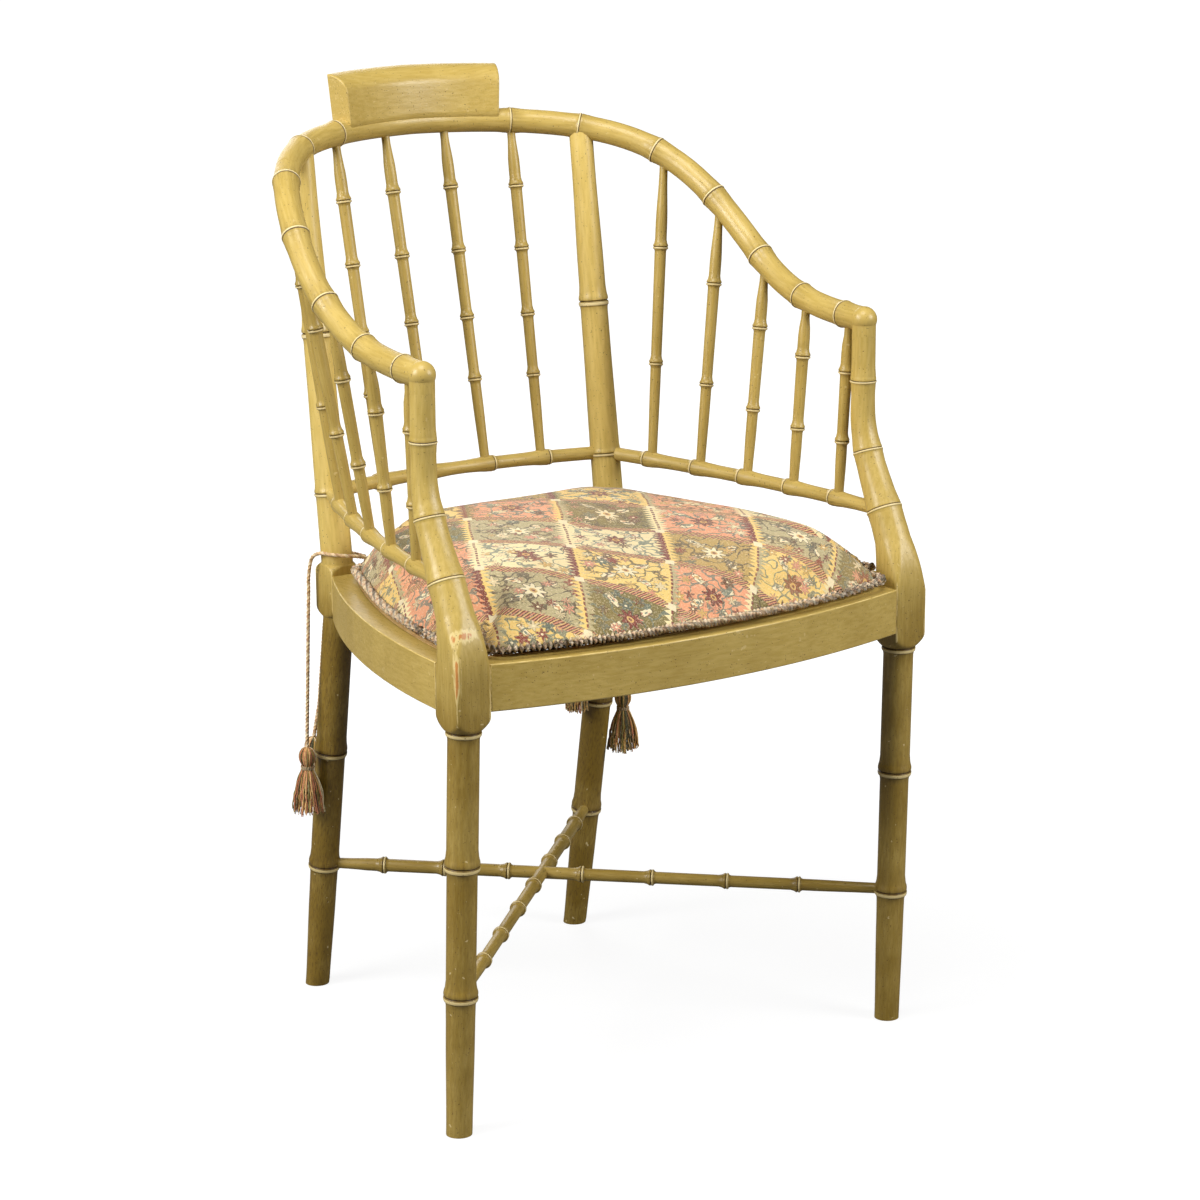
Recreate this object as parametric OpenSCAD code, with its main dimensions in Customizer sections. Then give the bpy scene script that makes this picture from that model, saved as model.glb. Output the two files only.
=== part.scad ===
// Faux bamboo armchair: turned and painted beech that imitates bamboo, with a continuous hoop
// for arms and back, a bowed seat frame, crossed stretchers and a tied-on cushion.
// X runs across the chair, the sitter faces -Y, Z is up. Lengths are millimetres.

/* [Seat frame] */
// Height of the top of the seat rails
seat_h = 425; // [400:1:460]
// Height of each seat rail
rail_h = 41.5; // [34:0.5:48]
// Half the distance between the front leg axes
front_leg_x = 236; // [220:1:260]
// Half the distance between the rear leg axes
rear_leg_x = 154.5; // [140:0.5:170]
// Distance from front leg axis to rear leg axis at the seat
seat_depth = 344; // [325:1:380]
// Side of a front leg's square block
front_block = 34; // [33:0.5:40]
// Side of a rear leg's square block
rear_block = 30; // [29:0.5:34]
// How far the front rail bows forward of the blocks
front_bow = 31; // [20:1:40]
// How far the side rails bow outward
side_bow = 16.6; // [10:0.2:22]
// Thickness of the front rail
front_rail_t = 31; // [27:1:32]
// Thickness of the side rails
side_rail_t = 30; // [26:1:34]
// Thickness of the back rail
back_rail_t = 24; // [20:1:28]
// How far the rear blocks rise above the rails
rear_block_rise = 9; // [4:1:16]

/* [Legs] */
// Height of the lower ring on the legs
low_ring_h = 129; // [110:1:150]
// Height of the upper ring on the legs
high_ring_h = 247; // [220:1:280]
// Diameter of a front leg under its block
front_leg_dia = 27.6; // [25:0.2:30]
// Diameter of a rear leg under its block
rear_leg_dia = 28.6; // [26:0.2:29]
// Diameter of each leg at the foot
foot_dia = 23; // [20:0.5:25]
// Diameter of the rings on the legs
leg_ring_dia = 31; // [29:0.2:34]
// How far the rings narrow on the lower leg
low_ring_less = 1.6; // [0:0.2:3]
// Backward rake of the front legs, degrees
front_rake = 2; // [0:0.1:3]
// Backward rake of the rear legs, degrees
rear_rake = 9.4; // [5:0.2:11]
// Outward splay of the front legs, degrees
front_splay = 0.5; // [0:0.1:2]
// How far the rear legs lean inward, degrees
rear_lean_in = 0.4; // [0:0.1:2]

/* [Posts] */
// Diameter of a back post at the seat block
post_base_dia = 29.4; // [27:0.2:30]
// Diameter of a back post under the hoop
post_top_dia = 22.6; // [21:0.2:25]
// Height of the ring on the back posts
post_ring_h = 646; // [620:1:680]
// How far below the arm rails' centre line the arm posts end
arm_seam_drop = 14; // [12:1:22]
// Diameter of an arm post at that joint
arm_post_dia = 21.8; // [20:0.2:24]
// Diameter of an arm post where it grows out of its block
arm_base_dia = 34; // [31:0.5:36]
// How far an arm post leans back above its block
arm_lean = 56; // [40:1:65]
// Height over which it leans
arm_lean_h = 158; // [130:1:190]
// Height of the lowest ring on the arm posts
arm_ring_low_h = 491; // [484:1:497]
// Height of the middle ring on the arm posts
arm_ring_mid_h = 541; // [530:1:556]
// Height of the top ring on the arm posts
arm_ring_top_h = 605; // [592:1:616]
// How far the rings of the arm posts stand out
arm_ring_rise = 0.9; // [0.4:0.1:1.5]

/* [Hoop] */
// Height of the hoop's centre line at the crest
crest_h = 823; // [790:1:870]
// Height of the hoop's centre line at the elbows
arm_h = 660; // [650:1:680]
// Half the hoop's width at its widest, on the centre line
hoop_half_w = 236.5; // [225:0.5:250]
// How far the crest lies behind the rear leg axes
crest_setback = 104; // [85:1:115]
// Depth of the hoop's half ellipse
hoop_round_d = 236; // [210:1:250]
// Diameter of the hoop between its rings
hoop_dia = 22.8; // [21:0.2:26]
// Diameter of the hoop's rings
hoop_ring_dia = 25.4; // [24:0.2:28]
// Angle round the hoop where half its fall is done, degrees
fall_mid = 77.7; // [72:0.1:84]
// Softness of the fall towards the crest, degrees
fall_soft_back = 16; // [12:0.5:18]
// Softness of the fall towards the arms, degrees
fall_soft_front = 9.4; // [8:0.1:12]
// Angle from the crest to each joint in the hoop, degrees
hoop_joint = 54; // [50:1:56]
// Angle from the crest to the first ring of an arm rail, degrees
arm_ring_first = 59.5; // [58:0.5:62]
// Distance from the elbow back to the last ring of an arm rail
arm_ring_last = 28; // [26:1:40]
// How far a side spindle stands in front of its ring
spindle_ahead = 7; // [6:0.5:11]

/* [Tablet] */
// Height of the tablet's back edge above the hoop's centre line
tablet_h = 53; // [40:1:60]
// How far the tablet's rolled top drops to its front edge
tablet_roll = 17; // [12:1:22]
// Angle round the hoop to each end of the tablet, degrees
tablet_end = 21.2; // [18:0.2:22]
// Backward lean of the tablet, degrees
tablet_lean = 5; // [2:0.5:8]
// Diameter of the filled plug in the tablet
plug_dia = 5; // [3:0.5:7]

/* [Stay rails] */
// Height of the stay rails at the back posts
stay_back_h = 499; // [485:1:515]
// Height of the stay rails at the arm posts
stay_front_h = 489; // [480:1:500]
// How far the back stay rail bows backward
stay_bow = 23; // [16:1:30]
// How far the side stay rails bow outward
stay_side_bow = 13; // [8:1:20]
// Diameter of the stay rails between their rings
stay_dia = 12.2; // [11:0.2:14]
// Diameter of the stay rails' rings
stay_ring_dia = 16; // [14:0.2:18]

/* [Spindles] */
// Distance of the outer back spindles from the centre at the stay rail
spindle_outer_x = 89.5; // [84:0.5:96]
// Distance of the inner back spindles from the centre at the stay rail
spindle_inner_x = 30; // [25:0.5:38]
// How much wider the back spindles stand at the hoop
spindle_fan = 1.09; // [1:0.01:1.12]
// Diameter of a spindle between its rings
spindle_dia = 11.4; // [10:0.2:12.6]
// Diameter of a spindle's rings
spindle_ring_dia = 14.4; // [13:0.2:16]
// Diameter of a spindle where it enters the hoop
spindle_top_dia = 7.8; // [7:0.2:9]
// Diameter of a spindle where it enters a stay rail
spindle_foot_dia = 8.6; // [7.6:0.2:9]

/* [Stretchers] */
// Diameter of the stretchers between their rings
stretcher_dia = 11.8; // [11:0.2:13.6]
// Diameter of the stretchers' rings
stretcher_ring_dia = 15.4; // [14:0.2:17]
// Height of the stretchers' axes
stretcher_h = 129; // [120:1:145]

/* [Cushion] */
// Thickness of the cushion at its crown
cushion_t = 60; // [40:1:60]
// Height of its piped edge above the rails
welt_rise = 9; // [6:0.5:16]
// Diameter of the piping
welt_dia = 6; // [5:0.5:8]
// How far the piping stays inside the front rail's outer line
cushion_inset = 4; // [2:1:14]
// How far the piping stays inside the side rails' outer line
cushion_side_inset = 15; // [8:1:20]
// Clearance of the cushion from the posts
cushion_gap = 4; // [3:0.5:7]
// How far the cushion's sides draw in between its corners
cushion_draw = 6; // [0:1:10]
// Diameter of the tie cords
cord_dia = 3.8; // [3:0.1:4]
// Diameter of a tassel's head
tassel_head_dia = 16; // [13:0.5:19]
// Diameter of a tassel's skirt at its hem
tassel_hem_dia = 31; // [22:1:31]
// Length of a tassel
tassel_len = 64; // [45:1:75]

/* [Joinery] */
// Clearance of a tenon or dowel in its socket
fit = 0.2; // [0.1:0.05:0.4]
// Thickness of the seat rails' tenons
tenon_t = 10; // [8:0.5:12]
// Height of the seat rails' tenons
tenon_h = 28; // [20:1:30]
// Length of the front and side rails' tenons
tenon_len = 13; // [9:0.5:13.5]
// Length of the back rail's tenons
back_tenon_len = 11; // [8:0.5:11.5]
// Width of the rebate for the cane panel
rebate_w = 8; // [6:0.5:10]
// Depth of that rebate
rebate_d = 5; // [4:0.5:7]
// Thickness of the cane panel
cane_t = 2.2; // [1.6:0.2:3]
// Diameter of the dowels in the hoop and at the elbows
dowel_dia = 8; // [6:0.5:9]
// Length of those dowels
dowel_len = 36; // [24:1:44]
// Diameter of the tenons on the stay rails
stay_tenon_dia = 8; // [6:0.5:8.6]
// Diameter of the tenons on top of the back posts
post_tenon_dia = 12; // [9:0.5:13]
// Length of the legs of each corner block's triangle
corner_leg = 48; // [36:1:60]
// Height of the corner blocks
corner_h = 26; // [18:1:30]
// Width of the spline that holds the cane
spline_w = 4; // [3:0.5:6]

/* [Hidden] */

paint = [0.68, 0.62, 0.34];
paint_light = [0.80, 0.70, 0.42];
paint_dark = [0.52, 0.45, 0.24];
raw_wood = [0.78, 0.64, 0.44];
cane = [0.85, 0.72, 0.47];
cloth = [0.76, 0.64, 0.47];
cord_tan = [0.74, 0.56, 0.40];

smooth = 48;
rail_sides = 16;
stay_sides = 12;
cord_sides = 8;
seam = 0.1;

// Outline of a turned ring: offset along the piece, share of the rise from shaft to ring
ring_outline = [
    [-9, 0], [-5.4, 0.3], [-4.4, 0.9], [-2.8, 1], [-1.3, 0.92], [-0.6, 0.45],
    [0.4, 0.45], [1.1, 0.9], [2.6, 1], [5, 0.8], [9, 0.25], [14, 0]
];
// The same for a bent rail, and for a stay rail, whose joints are fat on one side
bent_outline = [
    [-13, 0], [-4.6, 0.45], [-1.6, 1], [-0.4, 0.4], [0.4, 0.4], [1.6, 1], [4.6, 0.6], [13, 0]
];
horn_outline = [
    [-5, 0.15], [-1.4, 0.7], [-0.5, 0.3], [0.5, 0.35], [1.6, 1], [6, 0.85], [18, 0.35]
];

rail_bottom = seat_h - rail_h;
rail_mid = seat_h - rail_h / 2;
front_block_bottom = rail_bottom - 15.5;
rear_block_top = seat_h + rear_block_rise;
arm_seam_h = arm_h - arm_seam_drop;

// Plan circle of the front rail's outer face, through the blocks' front corners
front_chord = front_leg_x - front_block / 2;
front_r = (front_chord * front_chord + front_bow * front_bow) / (2 * front_bow);
front_c = [0, front_r - front_bow - front_block / 2];

// Plan circle of a side rail's outer face, through the blocks' outer corners
side_p = [front_leg_x + front_block / 2, front_block / 2];
side_q = [rear_leg_x + rear_block / 2, seat_depth - rear_block / 2];
side_chord = norm(side_q - side_p);
side_r = (side_chord * side_chord / 4 + side_bow * side_bow) / (2 * side_bow);
side_in = [side_p.y - side_q.y, side_q.x - side_p.x] / side_chord;
side_c = (side_p + side_q) / 2 + side_in * (side_r - side_bow);
function side_x(y, inset) = side_c.x + sqrt(pow(side_r - inset, 2) - pow(y - side_c.y, 2));
function front_y(x, inset) = front_c.y - sqrt(pow(front_r - inset, 2) - x * x);

back_face = seat_depth - back_rail_t / 2;
crest_y = seat_depth + crest_setback;
front_edge = -front_block / 2 - front_bow;
back_edge = crest_y + hoop_dia / 2 + tablet_h * tan(tablet_lean);
mid_y = (front_edge + back_edge) / 2;

// Centre lines of the legs and posts
function ease(u) = u <= 0 ? 0 : u >= 1 ? 1 : u * u * (3 - 2 * u);
function front_leg_at(z) = [
    front_leg_x + (front_block_bottom - z) * tan(front_splay),
    (front_block_bottom - z) * tan(front_rake) / cos(front_splay), z
];
function rear_leg_at(z) = [
    rear_leg_x - (rail_bottom - z) * tan(rear_lean_in),
    seat_depth + (rail_bottom - z) * tan(rear_rake) / cos(rear_lean_in), z
];
arm_lean_from = seat_h - 5;
function arm_post_y(z) = arm_lean * ease((z - arm_lean_from) / arm_lean_h);
function arm_post_at(z) = [front_leg_x, arm_post_y(z), z];

// Centre line of the hoop at angle a from the crest: a half ellipse, then straight to the elbow
hoop_deg = 180 / (PI * hoop_half_w);
elbow_y = arm_post_y(arm_seam_h);
hoop_end = 90 + (crest_y - hoop_round_d - elbow_y) * hoop_deg;
function fall_soft(a) = fall_soft_back + (fall_soft_front - fall_soft_back) * a / hoop_end;
function hoop_fall(a) = 1 / (1 + exp((fall_mid - a) / fall_soft(a)));
function hoop_x(a) = a < 90
    ? hoop_half_w * sin(a)
    : hoop_half_w + (front_leg_x - hoop_half_w) * (a - 90) / (hoop_end - 90);
function hoop_y(a) = a < 90
    ? crest_y - hoop_round_d * (1 - cos(a))
    : crest_y - hoop_round_d - (a - 90) / hoop_deg;
function hoop_at(a) = [
    sign(a) * hoop_x(abs(a)), hoop_y(abs(a)), crest_h - (crest_h - arm_h) * hoop_fall(abs(a))
];
function hoop_run(a) = unit(hoop_at(a + 0.2) - hoop_at(a - 0.2));
post_ring = asin(rear_leg_x / hoop_half_w);
crest_ring = asin(spindle_outer_x * spindle_fan / hoop_half_w);
function arm_ring(i) = arm_ring_first
    + (hoop_end - arm_ring_last * hoop_deg - arm_ring_first) * (i - 1) / 4;

// Each back post leans from its block to the hoop
post_foot = [rear_leg_x, seat_depth, rear_block_top];
post_head = hoop_at(post_ring);
function post_y(z) = seat_depth
    + (z - post_foot.z) * (post_head.y - post_foot.y) / (post_head.z - post_foot.z);
function post_run() = unit(post_head - post_foot);

// Centre lines of the stay rails, t from 0 to 1 from the back post to the arm post
stay_p = [rear_leg_x, post_y(stay_back_h), stay_back_h];
stay_q = arm_post_at(stay_front_h);
stay_out = unit([stay_p.y - stay_q.y, stay_q.x - stay_p.x, 0]);
stay_len = norm(stay_q - stay_p);
function stay_at(t) = stay_p + (stay_q - stay_p) * t + stay_out * stay_side_bow * 4 * t * (1 - t);
function stay_run(t) = unit(stay_at(t + 0.01) - stay_at(t - 0.01));
function stay_ring(i) = (i - 0.16) / 6;
function back_stay_at(x) = [
    x, stay_p.y + stay_bow * (1 - x * x / (rear_leg_x * rear_leg_x)), stay_back_h
];
function back_stay_run(x) = unit(back_stay_at(x + 1) - back_stay_at(x - 1));

// Lofts: closed sections placed square to a path and joined by triangles
function unit(v) = v / norm(v);
function across(t, ref) = unit(cross(ref, t));
function place(c, t, ref, shape) = [
    for (q = shape) c + q.x * across(t, ref) + q.y * cross(t, across(t, ref))
];
function round_shape(r, n) = [for (j = [0:n - 1]) r * [cos(360 * j / n), sin(360 * j / n)]];
function skin(rings, n) = [
    for (i = [0:rings - 2], j = [0:n - 1])
        each [
            [i * n + j, (i + 1) * n + (j + 1) % n, i * n + (j + 1) % n],
            [i * n + j, (i + 1) * n + j, (i + 1) * n + (j + 1) % n]
        ]
];
module loft(points, runs, shapes, ref) {
    n = len(shapes[0]);
    last = (len(points) - 1) * n;
    rings = [for (i = [0:len(points) - 1]) each place(points[i], runs[i], ref, shapes[i])];
    start_lid = [for (j = [0:n - 1]) j];
    end_lid = [for (j = [0:n - 1]) last + n - 1 - j];
    polyhedron(rings, concat(skin(len(points), n), [start_lid, end_lid]));
}

// Stations [place, share of ring rise] along a rail with rings, k places per millimetre
function fill(a, b, n) = [for (j = [1:1:n]) [a + (b - a) * j / (n + 1), 0]];
function stations(from, to, rings, k, outline, mids) = let (
    before = outline[0].x * k,
    after = outline[len(outline) - 1].x * k,
    last = len(rings) - 1
) concat(
    [[from, 0]],
    fill(from, rings[0] + before, mids),
    [
        for (i = [0:last])
            each concat(
                [for (q = outline) [rings[i] + q.x * k, q.y]],
                fill(rings[i] + after, (i < last ? rings[i + 1] + before : to), mids)
            )
    ],
    [[to, 0]]
);

// Lathe profile of one ring at height z, between two shaft radii
function turned_ring(z, ring, below, above, size = 1) = [
    for (q = ring_outline)
        let (shaft = q.x < 0 ? below : above)
            [shaft + (ring - shaft) * q.y, z + q.x * size]
];
module turning(profile) {
    low = profile[0].y;
    high = profile[len(profile) - 1].y;
    rotate_extrude($fn = smooth)
        polygon(concat([[0, low]], profile, [[0, high]]));
}

// Puts a piece that stands on its own Z axis between two points
module between(a, b) {
    v = b - a;
    translate(a)
        rotate([0, acos(v.z / norm(v)), atan2(v.y, v.x)])
            children();
}
module centred() {
    translate([0, -mid_y, 0])
        children();
}
module mirrored(side) {
    mirror([side < 0 ? 1 : 0, 0, 0])
        children();
}

module along(from, run, start, end, dia) {
    between(from + run * start, from + run * end)
        cylinder(d = dia, h = end - start, $fn = smooth);
}

// A turned leg from the floor up: foot, two rings and the top that enters the block
function leg_profile(top_dia, length, collar) = let (
    top = top_dia / 2,
    mid = top - 0.5,
    low = (top_dia + foot_dia) / 4,
    ring = leg_ring_dia / 2
) concat(
    [[foot_dia / 2, -6]],
    turned_ring(low_ring_h, ring - low_ring_less / 2, low, mid - 0.2),
    turned_ring(high_ring_h, ring, mid, top),
    collar > 0
        ? [[top, length - 8], [collar, length - 6], [collar, length + 7]]
        : [[top, length + 2], [top - 3, length + 2], [top - 3, length + 9]]
);
module leg(x, y, top_z, rake, splay, top_dia, collar) {
    length = top_z / cos(rake) / cos(splay);
    difference() {
        translate([x, y, top_z])
            rotate([rake, -splay, 0])
                translate([0, 0, -length])
                    turning(leg_profile(top_dia, length, collar));
        translate([x - 60, y - 60, -30])
            cube([120, 160, 30]);
    }
}

// The rear leg's square block, whose ends the lathe has rounded off
module rear_square() {
    corner = rear_block / sqrt(2) + 0.2;
    drop = corner - rear_block / 2 + 0.2;
    turned = [for (u = [0:0.25:1]) [corner - drop * pow(1 - u, 1.7), 8 * u]];
    translate([rear_leg_x, seat_depth, 0])
        intersection() {
            translate([-rear_block / 2, -rear_block / 2, rail_bottom])
                cube([rear_block, rear_block, rear_block_top - rail_bottom]);
            turning(concat(
                [for (q = turned) [q.x, rail_bottom + q.y]],
                [for (i = [len(turned) - 1:-1:0]) [turned[i].x, rear_block_top - turned[i].y]]
            ));
        }
}

// Front block and arm post in one: a square block that the lathe has rounded off below,
// then a post that leans back, thins and turns round
front_pommel = 12;
front_turn = 44;
arm_rings = [arm_ring_low_h, arm_ring_mid_h, arm_ring_top_h];
arm_stations = concat(
    [for (u = [0:0.25:1]) [front_block_bottom + front_pommel * u, 0]],
    [for (i = [0:5]) [arm_lean_from + front_turn * i / 6, 0]],
    stations(arm_lean_from + front_turn, arm_seam_h, arm_rings, 1, bent_outline, 1)
);
function arm_post_r(z) = (arm_post_dia
    + (arm_base_dia - arm_post_dia) * (1 - ease((z - seat_h - 10) / 165))) / 2;
function squared(half, corner, n) = [
    for (j = [0:n - 1])
        let (c = cos(360 * j / n), q = sin(360 * j / n))
            min(half / max(abs(c), abs(q)), corner) * [c, q]
];
function arm_section(s) = let (
    full = front_block / sqrt(2) + 0.1,
    below = max(0, 1 - (s[0] - front_block_bottom) / front_pommel),
    above = max(0, min(1, (s[0] - arm_lean_from) / front_turn)),
    r = arm_post_r(s[0]),
    half = front_block / 2 + (r - front_block / 2) * ease(above),
    corner = full - (full - front_block / 2 + 0.5) * pow(below, 1.7) - (full - r) * pow(above, 0.8),
    rise = arm_ring_rise * s[1]
) squared(half + rise, corner + rise, rail_sides);
function arm_post_run(z) = unit(arm_post_at(z + 0.5) - arm_post_at(z - 0.5));
module arm_post(plan) {
    loft(
        [for (s = plan) arm_post_at(s[0])],
        [for (s = plan) s[0] > arm_lean_from + 1 ? arm_post_run(s[0]) : [0, 0, 1]],
        [for (s = plan) arm_section(s)],
        [1, 0, 0]
    );
}

// Tenons and the sockets that take them, grown by the clearance
module front_tenon(grow) {
    translate([front_chord - 1, 1 - tenon_t - grow, rail_mid - tenon_h / 2 - grow])
        cube([tenon_len + 1 + grow, tenon_t + 2 * grow, tenon_h + 2 * grow]);
}
module side_front_tenon(grow) {
    translate([
        front_leg_x - tenon_t - grow, front_block / 2 - tenon_len - grow, rail_mid - tenon_h / 2 - grow
    ])
        cube([tenon_t + 2 * grow, tenon_len + 1 + grow, tenon_h + 2 * grow]);
}
module side_rear_tenon(grow) {
    translate([
        rear_leg_x + 2 - tenon_t - grow, seat_depth - rear_block / 2 - 1, rail_mid - tenon_h / 2 - grow
    ])
        cube([tenon_t + 2 * grow, tenon_len + 1 + grow, tenon_h + 2 * grow]);
}
module back_tenon(grow) {
    translate([
        rear_leg_x - rear_block / 2 - 1, seat_depth + 0.5 - grow, rail_mid - tenon_h / 2 - grow
    ])
        cube([back_tenon_len + 1 + grow, tenon_t + 2 * grow, tenon_h + 2 * grow]);
}

// Stretchers run between the leg axes at one height
stretch_a = front_leg_at(stretcher_h);
stretch_far = rear_leg_at(stretcher_h);
stretch_b = [-stretch_far.x, stretch_far.y, stretch_far.z];
stretch_len = norm(stretch_b - stretch_a);
stretch_run = unit(stretch_b - stretch_a);
stretch_cross = stretch_a.x / (stretch_a.x - stretch_b.x);
stretch_end = 6;
stretch_tip_dia = stretcher_dia - 2;

// Spindles run from the centre line of a stay rail to the centre line of the hoop
function back_spindle_x(i) = [
    -spindle_outer_x, -spindle_inner_x, spindle_inner_x, spindle_outer_x
][i - 1];
function back_spindle_foot(i) = back_stay_at(back_spindle_x(i));
function back_spindle_head(i) = hoop_at(asin(back_spindle_x(i) * spindle_fan / hoop_half_w));
function side_spindle_foot(i) = stay_at(stay_ring(i) + spindle_ahead / stay_len);
function side_spindle_head(i) = hoop_at(arm_ring(i) + spindle_ahead * hoop_deg);
module spindle(foot, head, shares) {
    length = norm(head - foot);
    r = spindle_dia / 2;
    between(foot, head)
        turning(concat(
            [[spindle_foot_dia / 2, 0.4], [spindle_foot_dia / 2, 9]],
            [
                for (f = shares)
                    each turned_ring(length * f, spindle_ring_dia / 2, r - 0.5, r + 0.3, 0.5)
            ],
            [[spindle_top_dia / 2, length - 16], [spindle_top_dia / 2, length - 0.4]]
        ));
}
module spindle_sockets(foot, head) {
    run = unit(head - foot);
    along(foot, run, 0, 16, spindle_foot_dia + 2 * fit);
    along(head, -run, 0, 20, spindle_top_dia + 2 * fit);
}
module all_side_sockets() {
    for (i = [1:5])
        spindle_sockets(side_spindle_foot(i), side_spindle_head(i));
}
module all_back_sockets() {
    for (i = [1:4])
        spindle_sockets(back_spindle_foot(i), back_spindle_head(i));
}

// The turned back post, its tenon in the hoop
module post_turned(grow) {
    length = norm(post_head - post_foot);
    k = length / (post_head.z - post_foot.z);
    base = post_base_dia / 2;
    top = post_top_dia / 2;
    mid = (base + top) / 2;
    between(post_foot, post_head)
        turning(concat(
            [[base - 3, -9], [base - 3, -2], [base, -2]],
            turned_ring((stay_back_h - rear_block_top) * k, base + 0.8 + grow, base, base - 0.4, 0.6),
            turned_ring((post_ring_h - rear_block_top) * k, mid + 1.2 + grow, mid + 0.3, mid - 0.3, 1),
            [[top, length - 40], [top, length - 5]]
        ));
}
module hoop_dowel(grow) {
    along(
        hoop_at(hoop_joint), hoop_run(hoop_joint),
        -dowel_len / 2 - grow, dowel_len / 2 + grow, dowel_dia + 2 * grow
    );
}
module elbow_dowel(grow) {
    translate([front_leg_x, elbow_y, arm_seam_h - dowel_len / 2 - grow])
        cylinder(d = dowel_dia + 2 * grow, h = dowel_len * 0.9 + 2 * grow, $fn = smooth);
}
module stay_tenons(grow) {
    dia = stay_tenon_dia + 2 * grow;
    along(stay_p, stay_run(0), 6.5 - grow, 20, dia);
    along(stay_q, -stay_run(1), 6.5 - grow, 20, dia);
}
module back_stay_tenon(grow) {
    dia = stay_tenon_dia + 2 * grow;
    along(back_stay_at(rear_leg_x), -back_stay_run(rear_leg_x), 6.5 - grow, 20, dia);
}
module post_tenon(grow) {
    along(post_head, -post_run(), -2 - grow, 14, post_tenon_dia + 2 * grow);
}

module front_leg(side) {
    color(paint)
        centred()
            mirrored(side)
                difference() {
                    union() {
                        leg(
                            front_leg_x, 0, front_block_bottom, front_rake, front_splay,
                            front_leg_dia, leg_ring_dia / 2 + 0.2
                        );
                        arm_post(arm_stations);
                    }
                    front_tenon(fit);
                    side_front_tenon(fit);
                    stay_tenons(fit);
                    elbow_dowel(fit);
                    along(stretch_a, stretch_run, stretch_end - fit, 30, stretch_tip_dia + 2 * fit);
                }
}

module rear_leg(side) {
    color(paint)
        centred()
            mirrored(side)
                difference() {
                    union() {
                        leg(rear_leg_x, seat_depth, rail_bottom, rear_rake, -rear_lean_in, rear_leg_dia, 0);
                        rear_square();
                        difference() {
                            post_turned(0);
                            hoop_piece([for (s = crest_stations) if (abs(s[0] - post_ring) < 8) s]);
                        }
                        post_tenon(0);
                    }
                    side_rear_tenon(fit);
                    back_tenon(fit);
                    stay_tenons(fit);
                    back_stay_tenon(fit);
                    mirror([1, 0, 0])
                        along(stretch_b, -stretch_run, stretch_end - fit, 30, stretch_tip_dia + 2 * fit);
                }
}

// The opening inside the seat rails, grown outward
module seat_region(grow) {
    intersection() {
        translate(front_c)
            circle(r = front_r - front_rail_t + grow, $fn = 360);
        translate(side_c)
            circle(r = side_r - side_rail_t + grow, $fn = 360);
        translate([-side_c.x, side_c.y])
            circle(r = side_r - side_rail_t + grow, $fn = 360);
        translate([-front_leg_x, -front_leg_x])
            square([2 * front_leg_x, front_leg_x + back_face + grow]);
    }
}
module block_plans(grow) {
    for (side = [-1, 1]) {
        translate([side * front_leg_x, 0])
            square(front_block + 2 * grow, center = true);
        translate([side * rear_leg_x, seat_depth])
            square(rear_block + 2 * grow, center = true);
    }
}
module rebate() {
    translate([0, 0, seat_h - rebate_d])
        linear_extrude(rebate_d + 1)
            seat_region(rebate_w);
}

module seat_rail_front() {
    color(paint)
        centred() {
            difference() {
                translate([0, 0, rail_bottom])
                    linear_extrude(rail_h)
                        intersection() {
                            difference() {
                                translate(front_c)
                                    circle(r = front_r, $fn = 360);
                                translate(front_c)
                                    circle(r = front_r - front_rail_t, $fn = 360);
                            }
                            translate([-front_chord, -front_leg_x])
                                square([2 * front_chord, front_leg_x + front_block / 2]);
                        }
                rebate();
            }
            front_tenon(0);
            mirrored(-1)
                front_tenon(0);
        }
}

module seat_rail_side(side) {
    color(paint)
        centred()
            mirrored(side) {
                difference() {
                    translate([0, 0, rail_bottom])
                        linear_extrude(rail_h)
                            intersection() {
                                difference() {
                                    translate(side_c)
                                        circle(r = side_r, $fn = 360);
                                    translate(side_c)
                                        circle(r = side_r - side_rail_t, $fn = 360);
                                }
                                translate([0, front_block / 2])
                                    square([2 * front_leg_x, side_q.y - side_p.y]);
                            }
                    rebate();
                }
                side_front_tenon(0);
                side_rear_tenon(0);
            }
}

module seat_rail_back() {
    inner = rear_leg_x - rear_block / 2;
    color(paint)
        centred() {
            difference() {
                translate([-inner, back_face, rail_bottom])
                    cube([2 * inner, back_rail_t, rail_h]);
                rebate();
            }
            back_tenon(0);
            mirrored(-1)
                back_tenon(0);
        }
}

module corner_block(x, y, side) {
    color(raw_wood)
        centred()
            mirrored(side)
                translate([0, 0, rail_bottom + 4])
                    linear_extrude(corner_h)
                        difference() {
                            intersection() {
                                seat_region(-fit);
                                translate([x, y])
                                    rotate(45)
                                        square(corner_leg * sqrt(2), center = true);
                            }
                            block_plans(fit);
                        }
}

module cane_seat() {
    color(cane)
        centred()
            translate([0, 0, seat_h - rebate_d])
                linear_extrude(cane_t)
                    difference() {
                        seat_region(rebate_w - fit);
                        block_plans(fit);
                    }
}

module cane_spline() {
    color(cane)
        centred()
            translate([0, 0, seat_h - rebate_d + cane_t])
                linear_extrude(rebate_d - cane_t)
                    difference() {
                        seat_region(rebate_w - fit);
                        seat_region(rebate_w - fit - spline_w);
                        block_plans(fit);
                    }
}

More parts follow.
